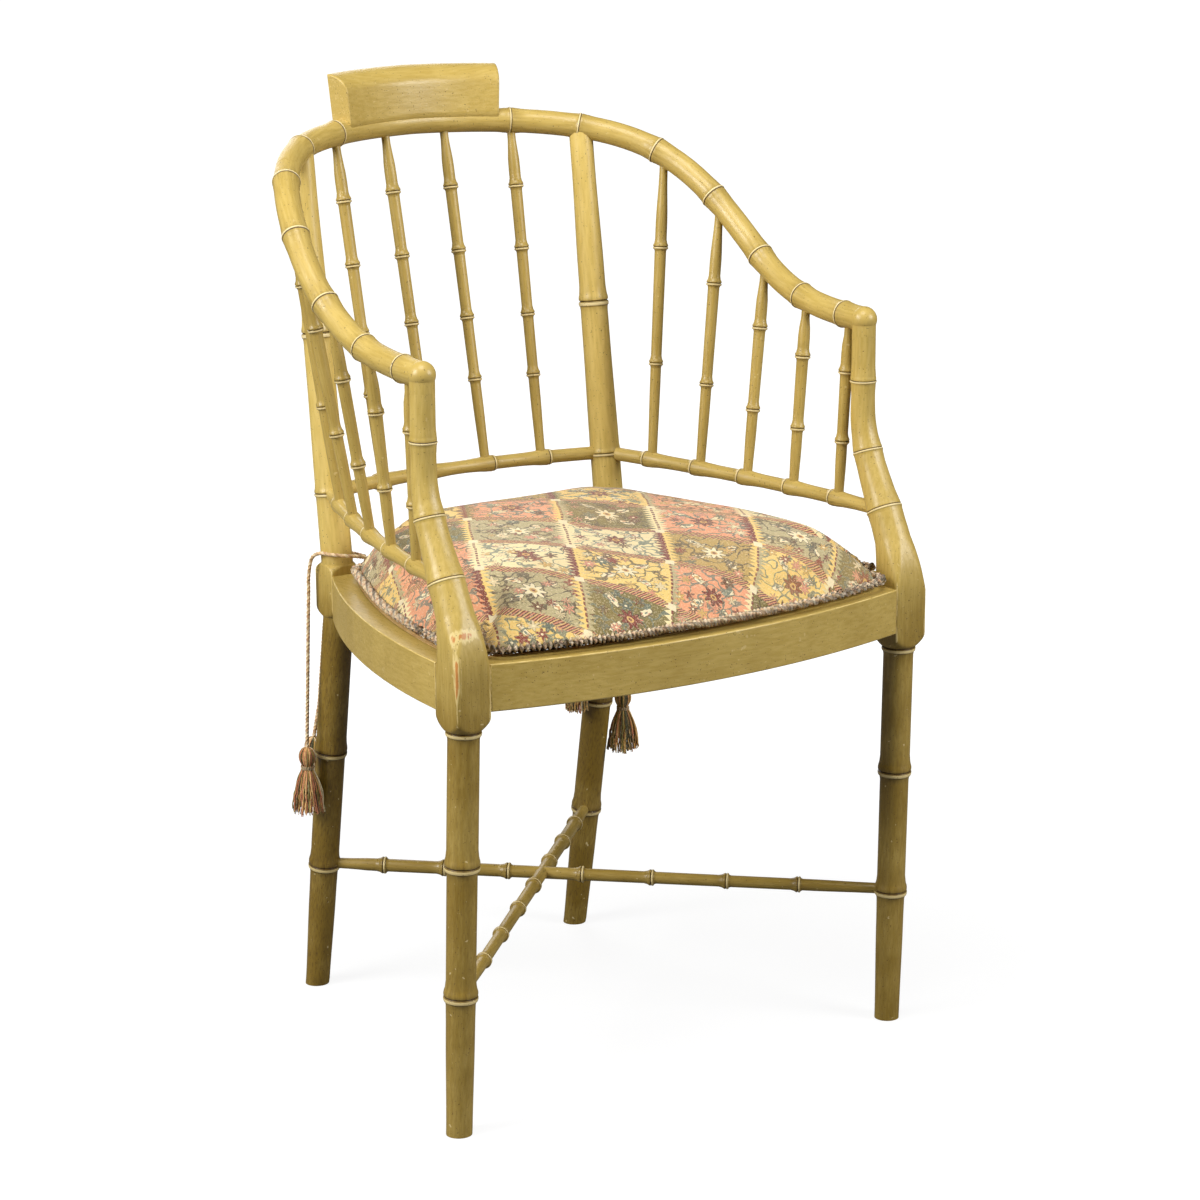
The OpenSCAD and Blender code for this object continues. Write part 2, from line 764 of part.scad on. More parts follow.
// The hoop is swept in three pieces: the crest and two arm rails
crest_stations = stations(
    -hoop_joint, hoop_joint, [-post_ring, -crest_ring, crest_ring, post_ring],
    hoop_deg, bent_outline, 2
);
arm_rail_stations = stations(
    hoop_joint, hoop_end, [for (i = [1:5]) arm_ring(i)], hoop_deg, bent_outline, 2
);
module hoop_piece(plan) {
    loft(
        [for (s = plan) hoop_at(s[0])],
        [for (s = plan) hoop_run(s[0])],
        [for (s = plan) round_shape((hoop_dia + (hoop_ring_dia - hoop_dia) * s[1]) / 2, rail_sides)],
        [0, 0, 1]
    );
}

// The tablet: as thick as the hoop, leaning back, its top rolled forward in a quarter ellipse
tablet_w = hoop_dia / 2 - 0.5;
tablet_slope = tan(tablet_lean);
tablet_shape = concat(
    [[-tablet_w, 0], [tablet_w, 0]],
    [
        for (u = [0:15:90])
            let (y = tablet_h - tablet_roll * (1 - cos(u)))
                [tablet_w * (1 - 2 * sin(u)) + y * tablet_slope, y]
    ]
);
module tablet() {
    plan = [for (j = [-7:7]) tablet_end * j / 7];
    loft(
        [for (a = plan) hoop_at(a)],
        [for (a = plan) hoop_run(a)],
        [for (a = plan) tablet_shape],
        [0, 0, 1]
    );
}
plug_at = [0, crest_y - tablet_w * 0.2 + tablet_h * tablet_slope, crest_h];

module crest_rail() {
    color(paint)
        centred()
            difference() {
                union() {
                    hoop_piece(crest_stations);
                    tablet();
                }
                all_back_sockets();
                for (side = [-1, 1])
                    mirrored(side) {
                        post_tenon(fit);
                        hoop_dowel(fit);
                    }
                translate(plug_at + [0, 0, tablet_h - tablet_roll - 6])
                    cylinder(d = plug_dia + seam, h = tablet_roll + 10, $fn = smooth);
            }
}

module crest_plug() {
    color(paint_light)
        centred()
            intersection() {
                tablet();
                translate(plug_at + [0, 0, tablet_h - tablet_roll - 6])
                    cylinder(d = plug_dia, h = tablet_roll + 10, $fn = smooth);
            }
}

module arm_rail(side) {
    color(paint)
        centred()
            mirrored(side)
                difference() {
                    union() {
                        hoop_piece(arm_rail_stations);
                        translate(hoop_at(hoop_end))
                            sphere(d = hoop_dia * 1.04, $fn = smooth);
                        translate([front_leg_x, elbow_y, arm_seam_h])
                            cylinder(d = arm_post_dia, h = hoop_at(hoop_end).z - arm_seam_h, $fn = smooth);
                    }
                    hoop_dowel(fit);
                    elbow_dowel(fit);
                    all_side_sockets();
                }
}

module hoop_dowels() {
    color(raw_wood)
        centred()
            for (side = [-1, 1])
                mirrored(side)
                    hoop_dowel(0);
}

module elbow_dowels() {
    color(raw_wood)
        centred()
            for (side = [-1, 1])
                mirrored(side)
                    elbow_dowel(0);
}

// Stay rails: each joint is fat on the side where its spindle stands
function stay_section(share) =
    round_shape((stay_dia + (stay_ring_dia - stay_dia) * share) / 2, stay_sides);
side_stay_stations = stations(
    10 / stay_len, 1 - 10 / stay_len, [for (i = [1:5]) stay_ring(i)], 1 / stay_len, horn_outline, 0
);
module stay_rail_side(side) {
    color(paint)
        centred()
            mirrored(side)
                difference() {
                    union() {
                        difference() {
                            loft(
                                [for (s = side_stay_stations) stay_at(s[0])],
                                [for (s = side_stay_stations) stay_run(s[0])],
                                [for (s = side_stay_stations) stay_section(s[1])],
                                [0, 0, 1]
                            );
                            post_turned(0.1);
                            arm_post([for (s = arm_stations) if (abs(s[0] - stay_front_h) < 30) s]);
                        }
                        stay_tenons(0);
                    }
                    all_side_sockets();
                }
}

back_stay_rings = [spindle_inner_x + spindle_ahead, spindle_outer_x + spindle_ahead];
back_stay_stations = concat(
    [for (i = [len(back_stay_rings) - 1:-1:0], q = horn_outline) [-back_stay_rings[i] + q.x, q.y]],
    [[0, 0]],
    [
        for (i = [0:len(back_stay_rings) - 1], j = [len(horn_outline) - 1:-1:0])
            [back_stay_rings[i] - horn_outline[j].x, horn_outline[j].y]
    ]
);
module stay_rail_back() {
    end = rear_leg_x - 10;
    plan = concat([[-end, 0.6], [-end + 20, 0.1]], back_stay_stations, [[end - 20, 0.1], [end, 0.6]]);
    color(paint)
        centred()
            difference() {
                union() {
                    difference() {
                        loft(
                            [for (s = plan) back_stay_at(s[0])],
                            [for (s = plan) back_stay_run(s[0])],
                            [for (s = plan) stay_section(s[1])],
                            [0, 0, 1]
                        );
                        for (side = [-1, 1])
                            mirrored(side)
                                post_turned(0.1);
                    }
                    for (side = [-1, 1])
                        mirrored(side)
                            back_stay_tenon(0);
                }
                all_back_sockets();
            }
}

module back_spindle(i) {
    color(paint)
        centred()
            spindle(back_spindle_foot(i), back_spindle_head(i), [0.25, 0.43, 0.625, 0.81]);
}

module side_spindle(side, i) {
    color(paint)
        centred()
            mirrored(side)
                spindle(side_spindle_foot(i), side_spindle_head(i), [0.32, 0.7]);
}

// Crossed stretchers, halved into each other where they meet
stretch_rings = [0.160, 0.285, 0.416, 0.539, 0.670, 0.784, 0.892];
module stretcher(side) {
    r = stretcher_dia / 2;
    tip = stretch_tip_dia / 2;
    middle = stretch_a + (stretch_b - stretch_a) * stretch_cross;
    color(paint_dark)
        centred()
            mirrored(side)
                difference() {
                    between(stretch_a, stretch_b)
                        turning(concat(
                            [[tip, stretch_end], [tip, 24]],
                            [
                                for (f = stretch_rings)
                                    each turned_ring(
                                        stretch_len * f, stretcher_ring_dia / 2, r - 0.4, r + 0.2, 0.5
                                    )
                            ],
                            [[tip, stretch_len - 24], [tip, stretch_len - stretch_end]]
                        ));
                    translate(middle)
                        rotate(atan2(stretch_run.y, -stretch_run.x))
                            translate([-30, -r - 0.2 - fit, side < 0 ? 0 : -r * 2])
                                cube([60, 2 * (r + 0.2 + fit), r * 2]);
                }
}

// Cushion plan: right half from front to back, running round the posts, then its mirror image
function cushion_x(y) = side_x(
    y, cushion_side_inset + cushion_draw * sin(180 * (y - side_p.y) / (side_q.y - side_p.y))
);
front_inner = [front_leg_x - front_block / 2, front_block / 2];
rear_inner = [rear_leg_x - rear_block / 2, seat_depth - rear_block / 2];
cushion_half = concat(
    [
        for (i = [0:7])
            let (x = i * (front_inner.x - cushion_gap - 7) / 7)
                [x, front_y(x, cushion_inset)]
    ],
    [for (q = [[0.3, -28], [0, -20], [0, -8], [-1, 1], [-5, 5], [-12, 8]])
        front_inner + [-cushion_gap - q.x, cushion_gap + q.y]],
    [for (y = [31:28:311]) [cushion_x(y), y]],
    [for (q = [[15, -8], [4, -4], [0, 3], [-2, 9], [-9, 14]])
        rear_inner + [q.x - cushion_gap, q.y - cushion_gap]],
    [for (x = [108, 72, 36, 0]) [x, rear_inner.y + 12 - cushion_draw * cos(x / 1.3)]]
);
cushion_plan = concat(
    cushion_half,
    [for (i = [len(cushion_half) - 2:-1:1]) [-cushion_half[i].x, cushion_half[i].y]]
);
function normal_at(i) = let (
    n = len(cushion_plan),
    d = unit(cushion_plan[(i + 1) % n] - cushion_plan[(i + n - 1) % n])
) [d.y, -d.x];
cushion_mid = [0, seat_depth * 0.46];
function cushion_ring(inset, scale, z) = [
    for (i = [0:len(cushion_plan) - 1])
        let (q = cushion_mid + (cushion_plan[i] - normal_at(i) * inset - cushion_mid) * scale)
            [q.x, q.y, seat_h + z]
];
function crown(s) = let (piping = welt_rise + welt_dia / 2)
    piping + (cushion_t - piping) * pow(1 - pow(s, 6), 0.6);
module cushion() {
    n = len(cushion_plan);
    w = welt_dia / 2;
    rings = concat(
        [
            cushion_ring(w + 8, 1, 0.3),
            cushion_ring(w + 1, 1, welt_rise - w - 2),
            cushion_ring(w - 0.4, 1, welt_rise - w * 0.75),
            cushion_ring(w * 0.15, 1, welt_rise - w * 0.45),
            cushion_ring(w * 0.15, 1, welt_rise + w * 0.45),
            cushion_ring(w - 0.4, 1, welt_rise + w * 0.75)
        ],
        [for (s = [0.985, 0.96, 0.92, 0.86, 0.76, 0.6, 0.4, 0.2]) cushion_ring(w, s, crown(s))]
    );
    last = len(rings) * n;
    color(cloth)
        centred()
            polyhedron(
                concat([for (r = rings) each r], [[cushion_mid.x, cushion_mid.y, seat_h + cushion_t]]),
                concat(
                    skin(len(rings), n),
                    [[for (j = [0:n - 1]) j]],
                    [for (j = [0:n - 1]) [last - n + j, last, last - n + (j + 1) % n]]
                )
            );
}

// Ties: each cord leaves a rear corner of the cushion, rounds the post and hangs to its tassel
function hang(a, b, n) = [for (i = [1:n]) a + (b - a) * i / n];
function from_post(side, q) = [side * (rear_leg_x + q.x), seat_depth + q.y, seat_h + q.z];
function route(side, points) = [for (q = points) from_post(side, q)];
tie_outer_left = concat(
    route(-1, [
        [-19.5, -18, 14], [-8, -20.5, 17], [4, -19.5, 19], [14, -12, 20],
        [19, -1, 20], [22.5, 8, 14], [24, 12, -3]
    ]),
    hang(from_post(-1, [24, 12, -3]), from_post(-1, [27.5, 18, -170]), 12)
);
tie_inner_left = concat(
    route(-1, [
        [-26.5, -6, 12], [-20.5, 11, 13], [-12.5, 18, 13], [-0.5, 20, 12],
        [4, 20.5, 3], [3.5, 19.5, -10], [3.5, 19.5, -45]
    ]),
    hang(from_post(-1, [3.5, 19.5, -45]), from_post(-1, [3.5, 35, -135]), 7),
    hang(from_post(-1, [3.5, 35, -135]), from_post(-1, [5.2, 44, -170]), 4)
);
tie_outer_right = concat(
    route(1, [
        [-19.5, -18, 13], [-6.5, -20, 13], [5.5, -18, 13], [15.5, -13, 13],
        [21.5, -3, 11], [24.5, 6, 5], [25.5, 12, -7]
    ]),
    hang(from_post(1, [25.5, 12, -7]), from_post(1, [25.5, 16, -172]), 12)
);
tie_inner_right = concat(
    route(1, [
        [-26.5, -6, 12], [-22.5, 7, 13], [-25.5, 13, 9], [-29.5, 16, 3], [-30.5, 16, -7]
    ]),
    hang(from_post(1, [-30.5, 16, -7]), from_post(1, [-30.5, 16, -122]), 9)
);
module tie(path, ref) {
    last = len(path) - 1;
    color(cord_tan)
        centred()
            loft(
                path,
                [for (i = [0:last]) unit(path[min(i + 1, last)] - path[max(i - 1, 0)])],
                [for (p = path) round_shape(cord_dia / 2, cord_sides)],
                ref
            );
}

module tassel(top, aim, spread = 1) {
    head = tassel_head_dia / 2;
    hem = tassel_hem_dia / 2 * spread;
    color(cord_tan)
        centred()
            between(top, top + aim)
                turning(concat(
                    [[cord_dia / 2 + 0.6, 0], [head * 0.6, 2]],
                    [for (u = [-40:20:60]) [head * cos(u), head * (1.15 + sin(u))]],
                    [
                        [head * 0.62, head * 2.3], [head * 0.8, head * 2.7],
                        [hem * 0.8, tassel_len * 0.62], [hem, tassel_len]
                    ]
                ));
}

front_leg(-1);  // front_leg_left
front_leg(1);  // front_leg_right
rear_leg(-1);  // rear_leg_left
rear_leg(1);  // rear_leg_right
seat_rail_front();
seat_rail_back();
seat_rail_side(-1);  // seat_rail_left
seat_rail_side(1);  // seat_rail_right
corner_block(front_inner.x, front_inner.y, -1);  // corner_block_front_left
corner_block(front_inner.x, front_inner.y, 1);  // corner_block_front_right
corner_block(rear_inner.x, back_face, -1);  // corner_block_rear_left
corner_block(rear_inner.x, back_face, 1);  // corner_block_rear_right
cane_seat();
cane_spline();
crest_rail();
crest_plug();
arm_rail(-1);  // arm_rail_left
arm_rail(1);  // arm_rail_right
hoop_dowels();
elbow_dowels();
stay_rail_back();
stay_rail_side(-1);  // stay_rail_left
stay_rail_side(1);  // stay_rail_right
back_spindle(1);  // back_spindle_1
back_spindle(2);  // back_spindle_2
back_spindle(3);  // back_spindle_3
back_spindle(4);  // back_spindle_4
side_spindle(-1, 1);  // side_spindle_left_1
side_spindle(-1, 2);  // side_spindle_left_2
side_spindle(-1, 3);  // side_spindle_left_3
side_spindle(-1, 4);  // side_spindle_left_4
side_spindle(-1, 5);  // side_spindle_left_5
side_spindle(1, 1);  // side_spindle_right_1
side_spindle(1, 2);  // side_spindle_right_2
side_spindle(1, 3);  // side_spindle_right_3
side_spindle(1, 4);  // side_spindle_right_4
side_spindle(1, 5);  // side_spindle_right_5
stretcher(-1);  // stretcher_left
stretcher(1);  // stretcher_right
cushion();
tie(tie_outer_left, [1, 1, 1]);  // tie_left_outer
tie(tie_inner_left, [1, -1, 1]);  // tie_left_inner
tie(tie_outer_right, [-1, 1, 1]);  // tie_right_outer
tie(tie_inner_right, [-1, -1, 1]);  // tie_right_inner
tassel(from_post(-1, [27.5, 18, -170]), [0, 0, -1]);  // tassel_left_outer
tassel(from_post(-1, [5.2, 44, -170]), [0, 6.5, -32], 0.72);  // tassel_left_inner
tassel(from_post(1, [25.5, 16, -172]), [0, 0, -1]);  // tassel_right_outer
tassel(from_post(1, [-30.5, 16, -122]), [0, 0, -1], 0.72);  // tassel_right_inner
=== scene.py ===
# %% [markdown]
# # A faux bamboo armchair
# This chair is beech, turned on a lathe and painted so that it looks like bamboo: every rail, leg
# and spindle swells into rings where a real cane has its joints. On the seat lies a patchwork
# cushion, tied to the rear posts with cords that end in tassels.
# The measured model gives each part its place. The lesson dresses it: smooth turned pieces,
# glazed paint, cloth and thread. The frame is in metres. Places and radii of the wooden parts are
# written in millimetres, as on a workshop drawing, and become metres when a piece is made.

# %% Load the measured model
import math

import bmesh
import bpy
from mathutils import Matrix, Vector, noise


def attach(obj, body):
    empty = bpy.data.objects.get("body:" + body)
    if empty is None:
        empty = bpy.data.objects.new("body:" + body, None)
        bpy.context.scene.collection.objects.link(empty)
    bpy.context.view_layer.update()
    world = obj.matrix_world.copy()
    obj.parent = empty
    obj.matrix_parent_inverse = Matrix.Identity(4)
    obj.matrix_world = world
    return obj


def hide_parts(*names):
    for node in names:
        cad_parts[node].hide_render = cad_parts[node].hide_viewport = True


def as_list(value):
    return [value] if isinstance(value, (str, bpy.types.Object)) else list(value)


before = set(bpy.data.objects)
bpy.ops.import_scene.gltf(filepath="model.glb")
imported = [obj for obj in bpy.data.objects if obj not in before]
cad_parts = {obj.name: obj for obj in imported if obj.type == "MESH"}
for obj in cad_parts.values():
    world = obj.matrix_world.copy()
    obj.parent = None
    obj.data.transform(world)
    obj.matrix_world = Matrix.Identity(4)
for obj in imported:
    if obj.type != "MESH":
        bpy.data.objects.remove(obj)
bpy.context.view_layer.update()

# %% [markdown]
# ## The camera
# The chair was photographed from its front left corner, a little above the seat, with a long lens
# a good three metres away. A long lens keeps the legs nearly parallel, so the camera is placed
# first: every later choice is judged through it.

# %% Place the camera
LENS_MM, SENSOR_MM = 101.28, 36
CAMERA_PLACE = (-1.6886, -2.5095, 1.1622)
CAMERA_TURN, CAMERA_TILT, CAMERA_ROLL = -34.68, 75.89, -0.36


def link(thing):
    bpy.context.scene.collection.objects.link(thing)
    return thing


def rotation(degrees, axis):
    return Matrix.Rotation(math.radians(degrees), 4, axis)


lens = bpy.data.cameras.new("camera")
lens.lens, lens.sensor_width = LENS_MM, SENSOR_MM
camera = link(bpy.data.objects.new("camera", lens))
camera.location = CAMERA_PLACE
camera.rotation_mode = "QUATERNION"
view = rotation(CAMERA_TURN, "Z") @ rotation(CAMERA_TILT, "X") @ rotation(CAMERA_ROLL, "Z")
camera.rotation_quaternion = view.to_quaternion()
bpy.context.scene.camera = camera
print("camera stands", round(camera.location.length, 2), "m away")

# %% [markdown]
# ## Small tools for trees
# Geometry Nodes and shaders are both trees of nodes joined by links. `add` makes one node, sets
# its options and fills its inputs, either with a value or with another node's output. `math_node`
# does the same for one sum, and `new_group` opens an empty tree with named inputs.

# %% Tools for node trees
def add(tree, kind, links=None, **options):
    """Makes one node. links holds a value or another node's output for each input."""
    made = tree.nodes.new(kind)
    for key, value in options.items():
        setattr(made, key, value)
    for key, value in (links or {}).items():
        if isinstance(value, bpy.types.NodeSocket):
            tree.links.new(value, made.inputs[key])
        else:
            made.inputs[key].default_value = value
    return made


def new_group(name, kind, inputs, outputs):
    """An empty tree with its sockets, and the two nodes that stand for them."""
    tree = bpy.data.node_groups.new(name, kind)
    for way, sockets in (("INPUT", inputs), ("OUTPUT", outputs)):
        for label, socket, *value in sockets:
            made = tree.interface.new_socket(label, in_out=way, socket_type="NodeSocket" + socket)
            if value:
                made.default_value = value[0]
    return tree, tree.nodes.new("NodeGroupInput"), tree.nodes.new("NodeGroupOutput")


def math_node(tree, operation, first, second=0.0, third=None, clamp=False):
    """One sum. Gives its output, ready to be linked."""
    made = tree.nodes.new("ShaderNodeMath")
    made.operation, made.use_clamp = operation, clamp
    for place, value in enumerate((first, second, third)):
        if isinstance(value, bpy.types.NodeSocket):
            tree.links.new(value, made.inputs[place])
        elif value is not None:
            made.inputs[place].default_value = value
    return made.outputs[0]


print("tools for trees are ready")

# %% [markdown]
# A Geometry Nodes tree can leave a named number on every point, and read it back later: the paint
# uses such numbers to know where a joint is. Every tree here ends alike, smooth and with a
# material. `grow` runs a finished tree on an object and keeps the result as a plain mesh.

# %% Tools for growing pieces
def store(tree, geometry, name, value, data_type="FLOAT", domain="POINT"):
    """Leaves a named number on every point, and gives the geometry on."""
    return add(tree, "GeometryNodeStoreNamedAttribute",
               {"Geometry": geometry, "Name": name, "Value": value},
               data_type=data_type, domain=domain).outputs[0]


def stored(tree, name, data_type="FLOAT"):
    return add(tree, "GeometryNodeInputNamedAttribute", {"Name": name},
               data_type=data_type).outputs[0]


def end_tree(tree, made, geometry, material):
    """Ends a tree: smooth faces, real points in place of instances, and the material."""
    smooth = add(tree, "GeometryNodeSetShadeSmooth", {"Geometry": geometry})
    real = add(tree, "GeometryNodeRealizeInstances", {"Geometry": smooth.outputs[0]})
    done = add(tree, "GeometryNodeSetMaterial", {"Geometry": real.outputs[0], "Material": material})
    tree.links.new(done.outputs[0], made.inputs[0])
    return tree


def keep_result(thing, step):
    """Makes a modifier's result the object's own mesh, and takes the modifier off."""
    seen = thing.evaluated_get(bpy.context.evaluated_depsgraph_get())
    mesh = bpy.data.meshes.new_from_object(seen)
    thing.modifiers.remove(step)
    thing.data = mesh
    return thing


def grow(thing, tree, **values):
    """Runs a tree on an object. values go to the inputs of those names."""
    step = thing.modifiers.new("grow", "NODES")
    step.node_group = tree
    for item in tree.interface.items_tree:
        key = item.name.lower().replace(" ", "_")
        if item.in_out == "INPUT" and key in values:
            step[item.identifier] = values[key]
    return keep_result(thing, step)


print("tools for growing pieces are ready")

# %% [markdown]
# ## Lines to follow
# The front leg line is the measured model's own reference, so every route is written from there:
# `spot` turns millimetres from that line into the frame's metres. A piece that follows a path
# starts as a bare line of points, each with the thickness it will have there.

# %% Points and lines
LEG_LINE = 208.0184


def spot(x, y, z):
    return Vector((x, y - LEG_LINE, z)) / 1000


def line(name, points, **values):
    """A bare line of points, with named numbers on each."""
    mesh = bpy.data.meshes.new(name)
    mesh.from_pydata(points, [(i, i + 1) for i in range(len(points) - 1)], [])
    for key, numbers in values.items():
        mesh.attributes.new(key, "FLOAT", "POINT").data.foreach_set("value", numbers)
    return link(bpy.data.objects.new(name, mesh))


def eased_path(points, steps):
    """A smooth path through the points, with so many steps between each pair."""
    ends = [points[0] * 2 - points[1], *points, points[-1] * 2 - points[-2]]
    path = []
    for a, b, c, d in zip(ends, ends[1:], ends[2:], ends[3:]):
        for j in range(steps):
            u = j / steps
            path.append(
                0.5 * (2 * b + (c - a) * u + (2 * a - 5 * b + 4 * c - d) * u * u
                       + (3 * b - a - 3 * c + d) * u ** 3)
            )
    return path + [points[-1]]


print("the front legs stand", LEG_LINE, "mm in front of the frame's middle")

# %% [markdown]
# ## The tie cords
# Two twisted cords leave each rear corner of the cushion, pass round the post and hang down under
# their tassels. A real cord is three plies laid round each other. The tree sweeps a section with
# three lobes along the line and turns it as it goes, which is just what a rope walk does.

# %% A tree that lays a cord
TIE_THICKNESS, TIE_TURNS = 0.0038, 90.0
PLIES = 3


def cord_tree():
    tree, given, made = new_group(
        "laid_cord", "GeometryNodeTree",
        [("Line", "Geometry"), ("Thickness", "Float", TIE_THICKNESS),
         ("Turns per Metre", "Float", TIE_TURNS), ("Thread", "Material")],
        [("Cord", "Geometry")],
    )
    get = given.outputs
    curve = add(tree, "GeometryNodeMeshToCurve", {"Mesh": get["Line"]})
    run = add(tree, "GeometryNodeSplineParameter")
    turns = math_node(tree, "MULTIPLY", run.outputs["Length"], get["Turns per Metre"])
    tilt = math_node(tree, "MULTIPLY", turns, 2 * math.pi)
    twisted = add(tree, "GeometryNodeSetCurveTilt", {"Curve": curve.outputs[0], "Tilt": tilt})
    half = math_node(tree, "MULTIPLY", get["Thickness"], 0.5)
    ring = add(tree, "GeometryNodeCurvePrimitiveCircle", {"Resolution": 15, "Radius": half})
    share = add(tree, "GeometryNodeSplineParameter")
    turn = math_node(tree, "MULTIPLY", share.outputs["Factor"], PLIES * math.pi)
    wave = math_node(tree, "ABSOLUTE", math_node(tree, "COSINE", turn))
    lobe = math_node(tree, "MULTIPLY_ADD", wave, 0.3, 0.7)
    place = add(tree, "GeometryNodeInputPosition")
    scaled = add(tree, "ShaderNodeVectorMath", {0: place.outputs[0], "Scale": lobe},
                 operation="SCALE")
    lobed = add(tree, "GeometryNodeSetPosition",
                {"Geometry": ring.outputs[0], "Position": scaled.outputs[0]})
    marked = store(tree, lobed.outputs[0], "ply", share.outputs["Factor"])
    swept = add(tree, "GeometryNodeCurveToMesh",
                {"Curve": twisted.outputs[0], "Profile Curve": marked, "Fill Caps": True})
    return end_tree(tree, made, swept.outputs[0], get["Thread"])


laid_cord = cord_tree()
print("cord tree has", len(laid_cord.nodes), "nodes")

# %% [markdown]
# Each cord's route is the measured one: out of the cushion's corner, round the post and down. On
# each side one cord hangs outside the post. The other hangs behind the left post, or inside the
# right one.

# %% Routes of the four cords
def drop(start, end, count):
    return [start.lerp(end, j / count) for j in range(1, count + 1)]


CORNER = Vector((0.1545, 0.344, 0.425))


def from_post(side, *steps):
    """Steps in millimetres from the top of a rear leg's block: outward, back and up."""
    return [
        Vector((side * (CORNER.x + x / 1000), CORNER.y + y / 1000, CORNER.z + z / 1000))
        for x, y, z in steps
    ]


OUT_LEFT = from_post(-1, (-19.5, -18, 14), (-8, -20.5, 17), (4, -19.5, 19), (14, -12, 20),
                     (19, -1, 20), (22.5, 8, 14), (24, 12, -3))
IN_LEFT = from_post(-1, (-26.5, -6, 12), (-20.5, 11, 13), (-12.5, 18, 13), (-0.5, 20, 12),
                    (4, 20.5, 3), (3.5, 19.5, -10), (3.5, 19.5, -45))
OUT_RIGHT = from_post(1, (-19.5, -18, 13), (-6.5, -20, 13), (5.5, -18, 13), (15.5, -13, 13),
                      (21.5, -3, 11), (24.5, 6, 5), (25.5, 12, -7))
IN_RIGHT = from_post(1, (-26.5, -6, 12), (-22.5, 7, 13), (-25.5, 13, 9), (-29.5, 16, 3),
                     (-30.5, 16, -7))
ENDS = from_post(-1, (27.5, 18, -170), (3.5, 35, -135), (5.2, 44, -170))
ENDS += from_post(1, (25.5, 16, -172), (-30.5, 16, -122))
ROUTES = {
    "left_outer": OUT_LEFT + drop(OUT_LEFT[-1], ENDS[0], 12),
    "left_inner": IN_LEFT + drop(IN_LEFT[-1], ENDS[1], 7) + drop(ENDS[1], ENDS[2], 4),
    "right_outer": OUT_RIGHT + drop(OUT_RIGHT[-1], ENDS[3], 12),
    "right_inner": IN_RIGHT + drop(IN_RIGHT[-1], ENDS[4], 9),
}
ROUTES = {
    name: [point - Vector((0, LEG_LINE / 1000, 0)) for point in points]
    for name, points in ROUTES.items()
}
thread = bpy.data.materials.new("tie_thread")
cords = {}
for name, points in ROUTES.items():
    path = eased_path(points, 12)
    cords[name] = grow(line("cord_" + name, path), laid_cord, thread=thread)
    print(name, "cord has", len(cords[name].data.polygons), "faces")

# %% [markdown]
# ## The tassels
# A tassel is a bundle of threads folded over the cord and bound below the fold, so that a round
# head stands over a flared skirt. One thread is drawn from fold to hem. The tree repeats it round
# the axis at the golden angle, pulls some threads inward to fill the bundle, and lets them waver.

# %% A tree that hangs the threads
GOLDEN_ANGLE = 2.39996


def random_share(tree, seed, low=0.0, high=1.0):
    """A random number for each thread."""
    drawn = add(tree, "FunctionNodeRandomValue", {"Seed": seed}, data_type="FLOAT")
    drawn.inputs[2].default_value, drawn.inputs[3].default_value = low, high
    return drawn.outputs[1]


